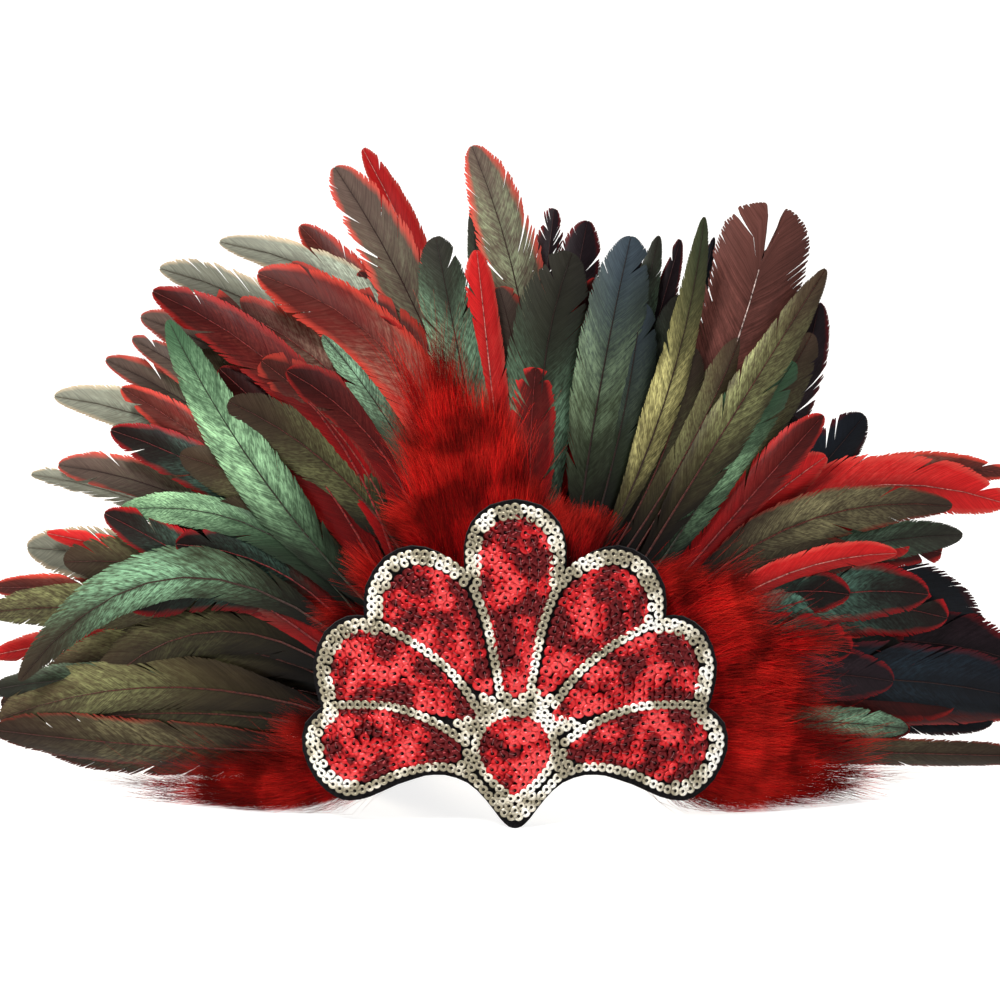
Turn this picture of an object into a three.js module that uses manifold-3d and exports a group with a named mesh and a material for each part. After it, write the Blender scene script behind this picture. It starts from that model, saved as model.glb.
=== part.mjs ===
// A carnival feather headdress: rows of rooster feathers on tapes, set in an arch behind a sequinned felt patch,
// on a felt band that goes round the head. Millimetres, +Z up. It stands on the patch's lowest point and on the
// rear of the band. The front faces -Y.
import * as THREE from "three";
import { mergeVertices } from "three/addons/utils/BufferGeometryUtils.js";
import Module from "manifold-3d";

const wasm = await Module();
wasm.setup();

// Driving dimensions
const GAP = 0.3; // left between pieces that touch
const BROW_RADIUS = 300; // how the patch curves round the brow
const SIDE_SWEEP = 0.36; // how far the fan runs back for each millimetre outwards, at its sides
const TOP_SWEEP = 0.2; // and at its top
const FELT_THICKNESS = 2;
const TRIM_THICKNESS = 1.8;
const FIELD_THICKNESS = 1.4;
const PATCH_FACET = 12; // width of the flat strips that follow the brow's curve
const OUTLINE_STEPS = 2; // straight stretches between two points of an outline
const PETAL_CORNERS = 20;
const PATCH_REACH = { side: 96, top: 140, front: -12, back: 40 };
const MERGE_DISTANCE = 1e-4; // corners of a solid this near are one

// The arch of tapes behind the patch
const ARCH_HEIGHT = 51;
const ARCH_RADIUS = 52;
const TAPE_WIDTH = 10;
const TAPE_RIM = ARCH_RADIUS + TAPE_WIDTH / 2;
const TAPE_THICKNESS = 1.7;
const TAPE_STEP = 10; // degrees between the sections of a tape
const ROOT_DEPTH = 0.6; // how far a quill reaches into its tape

// The sheets that the feathers lie in, one behind the other
const SHEETS = 6;
const SHEET_PITCH = 5;
const ROOT_CLOSING = 0.4; // the sheets close up to this share of their pitch at the tapes
const OPENING_LENGTH = 150; // and open over this length outside the tapes
const FIRST_SHEET = 5.45; // depth of the first sheet behind the front of the felt
const BLADE_THICKNESS = 1.3;
const PLY_OFFSET = 1.3; // neighbours in a row lie this far before and behind its middle

// The down lies between the felt and the first sheet
const DOWN_BACK = 5.2;
const DOWN_AT_PATCH = 2.6; // thickness behind the patch
const DOWN_OUTSIDE = 6.5; // thickness past the patch
const PATCH_RIM_RADIUS = 90;
const DOWN_SWELL_LENGTH = 25;

// The head band
const BAND_WALL = 3;
const BAND_FRONT = FIRST_SHEET + ROOT_CLOSING * SHEETS * SHEET_PITCH + GAP;
const BAND_FACETS = [15, 35, 52]; // where the flat strips of its front meet, from the middle out
const BAND_HALF_WIDTH = 80;
const BAND_WIDEST = 95; // behind its front
const BAND_LENGTH = 200;
const BAND_HEIGHT = { front: 50, rear: 32 };
const BAND_BROW_LIFT = 22; // its lower edge rises to this at the brow, behind the patch's arches
const BAND_ARCH = { flat: 25, foot: 60 }; // where that rise ends and starts, behind its front
const BAND_STEP = { from: 30, to: 110 }; // where its upper edge falls to the rear height
const BAND_TEMPLE = { out: 14, back: 6 }; // how the curve of its side leaves the brow
const BAND_SIDE_REACH = { front: 50, rear: 55 }; // how far the curves run straight at its widest
const BAND_REAR_REACH = 48; // and across its rear
const BAND_STEPS = { side: 8, back: 10 };
const PAST = 10; // cuts run this far past the band

// The viewing point that the feather chart is drawn from
const SIGHT = { distance: 1200, rise: Math.tan(THREE.MathUtils.degToRad(9)), x: -6, z: 131 };

const DEPTH_MIDDLE = (BAND_FRONT + BAND_LENGTH - GAP - TRIM_THICKNESS) / 2;

const COLOURS = {
  felt: { color: 0x0b0a0b, roughness: 0.95, metalness: 0 },
  silver: { color: 0xe9e2cf, roughness: 0.25, metalness: 0.7 },
  red: { color: 0xc01822, roughness: 0.22, metalness: 0.6 },
  down: { color: 0xb00d14, roughness: 0.9, metalness: 0 },
  olive: { color: 0x3b3f27, roughness: 0.5, metalness: 0.1 },
  bronze: { color: 0x33291f, roughness: 0.5, metalness: 0.1 },
  mint: { color: 0x4f6b52, roughness: 0.45, metalness: 0.15 },
  plum: { color: 0x2a1d24, roughness: 0.5, metalness: 0.1 },
  crimson: { color: 0x6d1417, roughness: 0.6, metalness: 0.05 },
};

// The right half of each outline, as smooth runs of [x, z] that meet at the notches, from the top to the foot
const FELT_RUNS = [
  [[0, 133], [10, 130.6], [17.5, 123.5], [20.3, 114], [20, 104.5]],
  [[20, 104.5], [30, 111.5], [41, 114], [52, 109], [59.5, 97], [60, 85]],
  [[60, 85], [67, 84.6], [76, 78], [80.8, 65], [79.4, 53], [77.5, 47]],
  [[77.5, 47], [84.3, 40], [85.4, 29], [80, 17], [72, 10.6], [66, 9.5], [58, 11.5], [47, 17], [36, 21]],
  [[36, 21], [28, 21.5], [19, 18.5], [12, 12], [6, 4], [2.6, 0.7], [0, 0]],
];
const SILVER_RUNS = [
  [[0, 131], [9.5, 128.6], [16.2, 122], [18.7, 113.5], [18.3, 103]],
  [[18.3, 103], [28, 110], [40, 112], [50.5, 107.3], [57.2, 96], [57.8, 84]],
  [[57.8, 84], [65.5, 82.8], [73.8, 76.8], [78.4, 65], [77, 53.5], [75.3, 46.6]],
  [[75.3, 46.6], [81.8, 39], [82.8, 30], [78, 19.5], [71, 13.9], [66, 12.7], [58, 15], [47, 20.6], [36, 23.9]],
  [[36, 23.9], [28.5, 24.3], [22.5, 22.8], [17.5, 20.2], [11.5, 13.5], [5.5, 6.6], [0, 3.6]],
];
const CENTRE_PETAL_RUN = [
  [0, 126], [8.5, 122.5], [13.4, 112], [13.3, 98], [9.8, 85], [6.3, 69], [3.6, 56.5], [0, 55],
];
const DROP_RUN = [[0, 46], [8, 43.8], [13.4, 36.5], [13.2, 28.5], [7.5, 20.4], [0, 14.2]];

// The red fields of the three side petals, from the top one down, as closed outlines
const SIDE_PETALS = [
  [[10.2, 55], [12.2, 69], [15.4, 84], [22, 98], [37, 105.6], [49, 98], [51.3, 84.6], [36.5, 75.6], [24.5, 66]],
  [[17, 45.2], [20.5, 52], [28, 61.5], [39, 70.8], [53, 77.9], [66, 77], [72.2, 64.5], [70, 52.2], [52, 51.3]],
  [[21.2, 29.5], [30, 39.3], [42, 44.8], [54, 47], [69, 46.2], [76.2, 34], [71.5, 21], [60, 18.8], [46, 25]],
];

// The feather chart. Sheet 0 is the foremost. A row's columns are the angle of the root on the arch in degrees,
// the place of the tip as seen from the viewing point, right and up from the patch's foot, the sideways bow of
// the quill, anticlockwise first, and the width.
const FEATHER_BUNCHES = [
  {
    name: "front_feathers_upper_left", sheet: 0, tape: [102, 156], finish: "mint", feathers: [
      [118, -100, 222, -29, 24],
      [150, -135, 204, 7, 24],
      [140, -141, 215, -22, 20],
      [114, -75, 198, -6, 12],
      [130, -112, 172, -10, 22],
    ],
  },
  {
    name: "front_feathers_upper_right", sheet: 0, tape: [22, 72], finish: "olive", feathers: [
      [66, 45, 236, 2, 24],
      [60, 73, 244, -8, 14],
      [54, 88, 196, -4, 18],
      [44, 120, 224, 0, 20],
      [38, 109, 187, 0, 18],
    ],
  },
  {
    name: "front_feathers_left", sheet: 1, tape: [142, 208], finish: "olive", feathers: [
      [154, -132, 150, -14, 20],
      [162, -156, 128, -22, 14],
      [176, -162, 127, -4, 20],
      [168, -196, 61, -40, 24],
      [196, -206, 43, -17, 22],
      [203, -208, 40, 3, 20],
    ],
  },
  {
    name: "front_feathers_top", sheet: 1, tape: [66, 108], finish: "olive", feathers: [
      [100, -54, 205, -4, 18],
      [96, -31, 236, 0, 22],
      [92, -15, 231, 0, 14],
      [82, 8, 185, 2, 18],
      [72, 22, 230, 10, 28],
    ],
  },
  {
    name: "front_feathers_right", sheet: 1, tape: [-28, 34], finish: "bronze", feathers: [
      [22, 172, 130, 20, 24],
      [12, 150, 112, 12, 12],
      [4, 164, 94, 15, 25],
      [-6, 150, 60, 8, 22],
      [-14, 156, 41, 3, 14],
      [-22, 209, 30, 0, 12],
    ],
  },
  {
    name: "middle_feathers_upper_left", sheet: 2, tape: [102, 156], finish: "crimson", feathers: [
      [110, -62, 214, -14, 22],
      [126, -117, 211, -22, 24],
      [138, -128, 190, -12, 22],
      [146, -150, 196, -14, 14],
    ],
  },
  {
    name: "middle_feathers_upper_right", sheet: 2, tape: [22, 72], finish: "bronze", feathers: [
      [64, 56, 236, 0, 16],
      [48, 100, 249, -9, 38],
      [36, 116, 198, -3, 20],
      [30, 120, 167, 0, 16],
      [28, 122, 150, 4, 18],
    ],
  },
  {
    name: "middle_feathers_left", sheet: 3, tape: [142, 208], finish: "bronze", feathers: [
      [152, -154, 177, -8, 16],
      [160, -158, 161, -14, 20],
      [170, -178, 108, -14, 22],
      [180, -208, 88, -14, 20],
      [184, -190, 55, -22, 24],
      [190, -209, 57, -10, 14],
      [200, -190, 34, 4, 20],
    ],
  },
  {
    name: "middle_feathers_top", sheet: 3, tape: [66, 108], finish: "crimson", feathers: [
      [98, -70, 263, -9, 24],
      [90, 0, 225, 0, 20],
      [84, -17, 271, -11, 24],
      [76, 31, 220, 2, 14],
    ],
  },
  {
    name: "middle_feathers_right", sheet: 3, tape: [-28, 34], finish: "crimson", feathers: [
      [30, 193, 131, 28, 24],
      [14, 176, 119, 14, 17],
      [6, 172, 84, 16, 24],
      [-4, 207, 52, 10, 30],
      [-12, 209, 46, 2, 14],
      [-20, 166, 30, 0, 12],
    ],
  },
  {
    name: "back_feathers_upper_left", sheet: 4, tape: [102, 156], finish: "bronze", feathers: [
      [104, -52, 232, -8, 20],
      [112, -87, 226, -14, 14],
      [106, -115, 234, -36, 16],
      [122, -138, 224, -28, 18],
      [134, -146, 205, -20, 20],
      [150, -160, 188, -14, 16],
    ],
  },
  {
    name: "back_feathers_upper_right", sheet: 4, tape: [22, 72], finish: "plum", feathers: [
      [60, 64, 235, 0, 14],
      [56, 77, 236, -4, 10],
      [50, 90, 228, -4, 18],
      [42, 108, 216, -6, 20],
      [34, 119, 210, -14, 18],
      [26, 137, 166, -4, 24],
    ],
  },
  {
    name: "back_feathers_left", sheet: 5, tape: [142, 208], finish: "bronze", feathers: [
      [156, -180, 174, -22, 18],
      [162, -179, 147, -16, 18],
      [166, -190, 143, -14, 12],
      [171, -193, 113, -12, 24],
      [174, -184, 120, -8, 10],
      [178, -208, 97, -12, 14],
      [186, -208, 70, -14, 14],
      [194, -205, 50, -6, 18],
    ],
  },
  {
    name: "back_feathers_top", sheet: 5, tape: [66, 108], finish: "plum", feathers: [
      [104, -84, 240, -12, 18],
      [100, -59, 270, -9, 13],
      [94, -17, 247, 0, 12],
      [84, 15, 247, 2, 14],
      [76, 28, 242, 3, 21],
      [70, 46, 232, 0, 18],
    ],
  },
  {
    name: "back_feathers_right", sheet: 5, tape: [-28, 34], finish: "plum", feathers: [
      [32, 194, 143, 24, 14],
      [20, 168, 112, 16, 20],
      [8, 186, 75, 30, 34],
      [2, 200, 68, 14, 28],
      [-10, 190, 44, 4, 20],
    ],
  },
];

// Locks of down, in the same columns
const DOWN_BUNCHES = [
  {
    name: "down_left", tape: [146, 208], locks: [
      [150, -76, 124, -6, 12],
      [160, -88, 104, -6, 12],
      [190, -108, 38, 2, 13],
      [197, -134, 28, 4, 13],
      [203, -154, 26, 6, 12],
      [206, -112, 20, 4, 12],
    ],
  },
  {
    name: "down_top", tape: [60, 128], locks: [
      [122, -60, 154, -6, 13],
      [114, -46, 182, -4, 14],
      [106, -32, 192, 0, 13],
      [99, -20, 182, 2, 13],
      [91, -6, 170, 2, 12],
      [82, 8, 158, 0, 12],
      [74, 22, 152, 2, 12],
      [66, 34, 146, 2, 11],
    ],
  },
  {
    name: "down_right", tape: [-28, 40], locks: [
      [36, 84, 118, 4, 12],
      [27, 102, 102, 4, 13],
      [16, 116, 86, 6, 14],
      [5, 120, 66, 4, 14],
      [-6, 122, 48, 0, 14],
      [-15, 124, 34, -2, 13],
      [-22, 116, 24, -4, 12],
      [-19, 152, 30, -2, 12],
    ],
  },
];

// How wide a feather and a lock are along their length, as shares of their full width
const BLADE_FORM = [[0, 0.14], [0.2, 0.5], [0.45, 1], [0.75, 0.95], [0.93, 0.55], [1, 0.12]];
const LOCK_FORM = [[0, 0.5], [0.35, 1], [0.75, 0.85], [1, 0.12]];

function browDepth(x) {
  return (x * x) / (2 * BROW_RADIUS);
}

// The fan runs straight out from the tapes, swept back more at its sides than at its top
function fanDepth(x, z) {
  const distance = archDistance(x, z);
  const [across, up] = [x / distance, (z - ARCH_HEIGHT) / distance];
  const sweep = Math.hypot(SIDE_SWEEP * across, TOP_SWEEP * up);
  const atArch = browDepth(across * Math.min(distance, TAPE_RIM));
  return atArch + sweep * Math.max(0, distance - TAPE_RIM);
}

function archPoint(degrees, radius) {
  const angle = THREE.MathUtils.degToRad(degrees);
  return { x: radius * Math.cos(angle), z: ARCH_HEIGHT + radius * Math.sin(angle) };
}

function archDistance(x, z) {
  return Math.hypot(x, z - ARCH_HEIGHT);
}

function opening(x, z) {
  const outside = (archDistance(x, z) - TAPE_RIM) / OPENING_LENGTH;
  return THREE.MathUtils.lerp(ROOT_CLOSING, 1, THREE.MathUtils.clamp(outside, 0, 1));
}

function sheetDepth(x, z, sheet, ply) {
  const share = opening(x, z);
  return fanDepth(x, z) + FIRST_SHEET + share * ((sheet + 0.5) * SHEET_PITCH + ply * PLY_OFFSET);
}

// Carries a point from where it is seen, on the plane of the patch, back to its own depth
function placeOf(seenX, seenZ, depthAt) {
  let point = { x: seenX, z: seenZ };
  for (let turn = 0; turn < 3; turn += 1) {
    const depth = depthAt(point.x, point.z);
    const scale = 1 + depth / SIGHT.distance;
    point = {
      x: SIGHT.x + (seenX - SIGHT.x) * scale,
      z: SIGHT.z + (seenZ - SIGHT.z) * scale - depth * SIGHT.rise,
    };
  }
  return point;
}

function asManifold(geometry) {
  const bare = geometry.clone();
  bare.deleteAttribute("normal");
  bare.deleteAttribute("uv");
  const merged = mergeVertices(bare, MERGE_DISTANCE);
  const vertProperties = new Float32Array(merged.getAttribute("position").array);
  const triVerts = new Uint32Array(merged.index.array);
  return new wasm.Manifold(new wasm.Mesh({ numProp: 3, vertProperties, triVerts }));
}

function asGeometry(manifold) {
  const { vertProperties, triVerts } = manifold.getMesh();
  const geometry = new THREE.BufferGeometry();
  geometry.setAttribute("position", new THREE.BufferAttribute(vertProperties, 3));
  geometry.setIndex(new THREE.BufferAttribute(triVerts, 1));
  geometry.computeVertexNormals();
  return geometry;
}

function namedMesh(name, manifold, finish) {
  const mesh = new THREE.Mesh(asGeometry(manifold), new THREE.MeshStandardMaterial(COLOURS[finish]));
  mesh.name = name;
  return mesh;
}

// A closed solid through sections that all have the same number of corners
function loft(sections) {
  const corners = sections[0].length;
  const positions = sections.flat().flatMap((p) => [p.x, p.y, p.z]);
  const index = [];
  for (let row = 0; row + 1 < sections.length; row += 1) {
    for (let corner = 0; corner < corners; corner += 1) {
      const next = (corner + 1) % corners;
      const [a, b] = [row * corners + corner, row * corners + next];
      index.push(a, b, b + corners, a, b + corners, a + corners);
    }
  }
  const last = (sections.length - 1) * corners;
  for (let corner = 1; corner + 1 < corners; corner += 1) {
    index.push(0, corner + 1, corner, last, last + corner, last + corner + 1);
  }
  const geometry = new THREE.BufferGeometry();
  geometry.setAttribute("position", new THREE.Float32BufferAttribute(positions, 3));
  geometry.setIndex(index);
  const solid = asManifold(geometry);
  if (solid.volume() > 0) return solid;
  geometry.setIndex(index.reverse());
  return asManifold(geometry);
}

function joined(solids) {
  return solids.reduce((whole, solid) => whole.add(solid));
}

function smoothRun(points, steps) {
  const curve = new THREE.SplineCurve(points.map(([x, z]) => new THREE.Vector2(x, z)));
  return curve.getPoints(steps * (points.length - 1));
}

// A whole outline from its right half, given from the top to the foot
function mirroredOutline(runs, steps) {
  const right = runs.flatMap((run, i) => smoothRun(run, steps).slice(i === 0 ? 0 : 1));
  const left = right.slice(1, -1).reverse().map((p) => new THREE.Vector2(-p.x, p.y));
  return [...right, ...left];
}

function closedOutline(points, count, side) {
  const ring = points.map(([x, z]) => new THREE.Vector3(side * x, z, 0));
  const curve = new THREE.CatmullRomCurve3(ring, true, "centripetal");
  return curve.getPoints(count).slice(0, -1).map((p) => new THREE.Vector2(p.x, p.y));
}

// The outline moved outwards by a distance, which may be negative
function grown(outline, by) {
  const outward = THREE.ShapeUtils.isClockWise(outline) ? -by : by;
  const normals = outline.map((point, i) => {
    const along = new THREE.Vector2().subVectors(outline[(i + 1) % outline.length], point).normalize();
    return new THREE.Vector2(along.y, -along.x);
  });
  return outline.map((point, i) => {
    const before = normals[(i + outline.length - 1) % outline.length];
    const mitre = new THREE.Vector2().addVectors(before, normals[i]).divideScalar(1 + before.dot(normals[i]));
    return point.clone().addScaledVector(mitre, outward);
  });
}

// A shape in the XY plane, drawn out along Z
function extruded(shape, depth) {
  return new THREE.ExtrudeGeometry(shape, { depth, bevelEnabled: false });
}

// A prism of an outline in the XZ plane, through the patch from front to back
function prism(outline) {
  const { front, back } = PATCH_REACH;
  const geometry = extruded(new THREE.Shape(outline), back - front);
  return asManifold(geometry.rotateX(Math.PI / 2).translate(0, back, 0));
}

// The layer of the patch between two depths behind the front of the felt, curved round the brow
function browLayer(front, back) {
  const columns = Math.round((2 * PATCH_REACH.side) / PATCH_FACET);
  const edge = (depth) => Array.from({ length: columns + 1 }, (_, i) => {
    const x = -PATCH_REACH.side + i * PATCH_FACET;
    return new THREE.Vector2(x, browDepth(x) + depth);
  });
  const shape = new THREE.Shape([...edge(front), ...edge(back).reverse()]);
  return asManifold(extruded(shape, 2 * PATCH_REACH.top).translate(0, 0, -PATCH_REACH.top / 2));
}

function patchPieces() {
  const fieldOutlines = [
    ["red_sequins_centre", mirroredOutline([CENTRE_PETAL_RUN], OUTLINE_STEPS)],
    ["red_sequins_drop", mirroredOutline([DROP_RUN], OUTLINE_STEPS)],
    ...SIDE_PETALS.map((petal, i) => [`red_sequins_left_${i + 1}`, closedOutline(petal, PETAL_CORNERS, -1)]),
    ...SIDE_PETALS.map((petal, i) => [`red_sequins_right_${i + 1}`, closedOutline(petal, PETAL_CORNERS, 1)]),
  ];
  const trimLayer = browLayer(-GAP - TRIM_THICKNESS, -GAP);
  const felt = prism(mirroredOutline(FELT_RUNS, OUTLINE_STEPS)).intersect(browLayer(0, FELT_THICKNESS));
  const windows = fieldOutlines.map(([, outline]) => prism(grown(outline, GAP)));
  const sheet = prism(mirroredOutline(SILVER_RUNS, OUTLINE_STEPS)).intersect(trimLayer);
  const trim = windows.reduce((rest, window) => rest.subtract(window), sheet);
  const fieldLayer = browLayer(-GAP - FIELD_THICKNESS, -GAP);
  return [
    namedMesh("felt_backing", felt, "felt"),
    namedMesh("silver_sequin_trim", trim, "silver"),
    ...fieldOutlines.map(([name, outline]) => namedMesh(name, prism(outline).intersect(fieldLayer), "red")),
  ];
}

// A stretch of tape along the arch, from one angle to another, at a depth that depends on the place
function tape([from, to], thickness, depthAt) {
  const steps = Math.ceil((to - from) / TAPE_STEP);
  const sections = Array.from({ length: steps + 1 }, (_, i) => {
    const angle = THREE.MathUtils.lerp(from, to, i / steps);
    const inner = archPoint(angle, ARCH_RADIUS - TAPE_WIDTH / 2);
    const outer = archPoint(angle, ARCH_RADIUS + TAPE_WIDTH / 2);
    const corner = ({ x, z }, side) => new THREE.Vector3(x, depthAt(x, z) + (side * thickness) / 2, z);
    return [corner(inner, -1), corner(outer, -1), corner(outer, 1), corner(inner, 1)];
  });
  return loft(sections);
}

// A blade with a lens section along a bowed quill. layerAt gives its front and back at a place
function blade([root, tipX, tipZ, bend, width], form, layerAt) {
  const middleAt = (x, z) => {
    const [front, back] = layerAt(x, z);
    return (front + back) / 2;
  };
  const start = archPoint(root, TAPE_RIM - ROOT_DEPTH);
  const tip = placeOf(tipX, tipZ, middleAt);
  const along = new THREE.Vector2(tip.x - start.x, tip.z - start.z).normalize();
  const bow = new THREE.Vector2(-along.y, along.x).multiplyScalar(2 * bend);
  const quill = new THREE.QuadraticBezierCurve(
    new THREE.Vector2(start.x, start.z),
    new THREE.Vector2((start.x + tip.x) / 2 + bow.x, (start.z + tip.z) / 2 + bow.y),
    new THREE.Vector2(tip.x, tip.z),
  );
  const sections = form.map(([t, share]) => {
    const point = quill.getPoint(t);
    const heading = quill.getTangent(t);
    const half = (share * width) / 2;
    const edge = (side) => {
      const [x, z] = [point.x - side * heading.y * half, point.y + side * heading.x * half];
      return new THREE.Vector3(x, middleAt(x, z), z);
    };
    const [front, back] = layerAt(point.x, point.y);
    return [
      edge(1),
      new THREE.Vector3(point.x, front, point.y),
      edge(-1),
      new THREE.Vector3(point.x, back, point.y),
    ];
  });
  return loft(sections);
}

function featherBunch({ name, sheet, tape: span, finish, feathers }) {
  const onSheet = (x, z) => sheetDepth(x, z, sheet, 0);
  const blades = feathers.map((feather, i) => {
    const ply = i % 2 === 0 ? 1 : -1;
    const layerAt = (x, z) => {
      const middle = sheetDepth(x, z, sheet, ply);
      const half = (opening(x, z) * BLADE_THICKNESS) / 2;
      return [middle - half, middle + half];
    };
    return blade(feather, BLADE_FORM, layerAt);
  });
  return namedMesh(name, joined([tape(span, TAPE_THICKNESS, onSheet), ...blades]), finish);
}

function downBunch({ name, tape: span, locks }) {
  const layerAt = (x, z) => {
    const outside = (archDistance(x, z) - PATCH_RIM_RADIUS) / DOWN_SWELL_LENGTH;
    const thickness = THREE.MathUtils.lerp(DOWN_AT_PATCH, DOWN_OUTSIDE, THREE.MathUtils.clamp(outside, 0, 1));
    const back = fanDepth(x, z) + DOWN_BACK;
    return [back - thickness, back];
  };
  const onDown = (x, z) => fanDepth(x, z) + DOWN_BACK - DOWN_AT_PATCH / 2;
  const blades = locks.map((lock) => blade(lock, LOCK_FORM, layerAt));
  return namedMesh(name, joined([tape(span, DOWN_AT_PATCH, onDown), ...blades]), "down");
}

// The band's outline seen from above, from the middle of its front round the right side to the rear
function bandOutline() {
  const front = BAND_FACETS.map((x) => new THREE.Vector2(x, BAND_FRONT + browDepth(x)));
  const corner = front[front.length - 1];
  const widest = new THREE.Vector2(BAND_HALF_WIDTH, BAND_FRONT + BAND_WIDEST);
  const rear = new THREE.Vector2(0, BAND_FRONT + BAND_LENGTH);
  const side = new THREE.CubicBezierCurve(
    corner,
    new THREE.Vector2(corner.x + BAND_TEMPLE.out, corner.y + BAND_TEMPLE.back),
    new THREE.Vector2(widest.x, widest.y - BAND_SIDE_REACH.front),
    widest,
  );
  const back = new THREE.CubicBezierCurve(
    widest,
    new THREE.Vector2(widest.x, widest.y + BAND_SIDE_REACH.rear),
    new THREE.Vector2(rear.x + BAND_REAR_REACH, rear.y),
    rear,
  );
  const curves = [...side.getPoints(BAND_STEPS.side).slice(1), ...back.getPoints(BAND_STEPS.back).slice(1)];
  const right = [...front, ...curves];
  const left = right.slice(0, -1).reverse().map((p) => new THREE.Vector2(-p.x, p.y));
  return [...right, ...left];
}

// A block across the whole band, of a side profile given as [y behind the band's front, z]
function sideCut(profile) {
  const shape = new THREE.Shape(profile.map(([y, z]) => new THREE.Vector2(BAND_FRONT + y, z)));
  const reach = BAND_HALF_WIDTH + PAST;
  const turn = new THREE.Matrix4().makeBasis(
    new THREE.Vector3(0, 1, 0),
    new THREE.Vector3(0, 0, 1),
    new THREE.Vector3(1, 0, 0),
  );
  return asManifold(extruded(shape, 2 * reach).applyMatrix4(turn).translate(-reach, 0, 0));
}

function headBand() {
  const outline = bandOutline();
  const shape = new THREE.Shape(outline);
  shape.holes = [new THREE.Path(grown(outline, -BAND_WALL))];
  const browArch = sideCut([
    [-PAST, -PAST],
    [BAND_ARCH.foot + PAST, -PAST],
    [BAND_ARCH.foot, 0],
    [BAND_ARCH.flat, BAND_BROW_LIFT],
    [-PAST, BAND_BROW_LIFT],
  ]);
  const rearStep = sideCut([
    [BAND_STEP.from, BAND_HEIGHT.front],
    [BAND_STEP.to, BAND_HEIGHT.rear],
    [BAND_LENGTH + PAST, BAND_HEIGHT.rear],
    [BAND_LENGTH + PAST, BAND_HEIGHT.front + PAST],
    [BAND_STEP.from, BAND_HEIGHT.front + PAST],
  ]);
  const ring = asManifold(extruded(shape, BAND_HEIGHT.front));
  return namedMesh("head_band", ring.subtract(browArch).subtract(rearStep), "felt");
}

const headdress = new THREE.Group();
headdress.add(...patchPieces());
headdress.add(...DOWN_BUNCHES.map(downBunch));
headdress.add(...FEATHER_BUNCHES.map(featherBunch));
headdress.add(headBand());

// The origin is under the middle of the whole piece, on the surface that it stands on
const across = new THREE.Box3().setFromObject(headdress).getCenter(new THREE.Vector3());
headdress.position.set(-across.x, -DEPTH_MIDDLE, 0);

export default headdress;
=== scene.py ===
import logging
import math
from dataclasses import dataclass, field
from enum import Enum
from functools import cache
from typing import Callable, Sequence

import bmesh
import bpy
import numpy as np
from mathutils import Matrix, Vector


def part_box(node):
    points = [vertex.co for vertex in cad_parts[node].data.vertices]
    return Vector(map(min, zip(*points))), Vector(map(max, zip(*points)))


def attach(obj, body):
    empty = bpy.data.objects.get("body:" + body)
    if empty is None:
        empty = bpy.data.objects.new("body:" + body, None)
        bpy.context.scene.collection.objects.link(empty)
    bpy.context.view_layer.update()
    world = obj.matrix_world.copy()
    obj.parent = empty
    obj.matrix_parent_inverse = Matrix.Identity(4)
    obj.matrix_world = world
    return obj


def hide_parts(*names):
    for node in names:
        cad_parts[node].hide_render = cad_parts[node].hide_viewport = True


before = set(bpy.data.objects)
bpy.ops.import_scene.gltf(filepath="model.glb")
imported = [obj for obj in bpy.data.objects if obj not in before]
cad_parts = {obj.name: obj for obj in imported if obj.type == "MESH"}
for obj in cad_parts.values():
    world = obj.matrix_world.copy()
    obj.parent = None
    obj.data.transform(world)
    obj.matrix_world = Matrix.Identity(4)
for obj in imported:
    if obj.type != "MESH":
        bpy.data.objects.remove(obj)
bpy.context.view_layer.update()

LOG = logging.getLogger("headdress")
MM = 0.001
SEED = 20
DOWN_SEED = SEED + 1
FEATHER_SEED = SEED + 10
TINY = 1e-6  # lengths under this are nothing
UV_MAP = "barbs"
LAYERS = ("seed", "sheen", "shade")  # the numbers that a mesh holds for its finish
COLOUR_A, COLOUR_B, COLOUR_OUT = 6, 7, 2  # the Mix node's sockets for colours

Array = np.ndarray
DepthAt = Callable[[Array, Array], Array]


def linear(hex_colour: str) -> tuple[float, float, float, float]:
    """Turns a hex colour into the linear colour that shaders take.

    Args:
        hex_colour: six hex digits, red first.

    Returns:
        Linear red, green and blue, and an alpha of 1.
    """
    parts = [int(hex_colour[i:i + 2], 16) / 255 for i in (0, 2, 4)]
    lin = [c / 12.92 if c <= 0.04045 else ((c + 0.055) / 1.055) ** 2.4 for c in parts]
    return (lin[0], lin[1], lin[2], 1.0)


def smooth(x: Array, low: float, high: float) -> Array:
    """A smooth step from 0 at low to 1 at high."""
    t = np.clip((x - low) / (high - low), 0, 1)
    return t * t * (3 - 2 * t)


# Shaders


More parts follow.
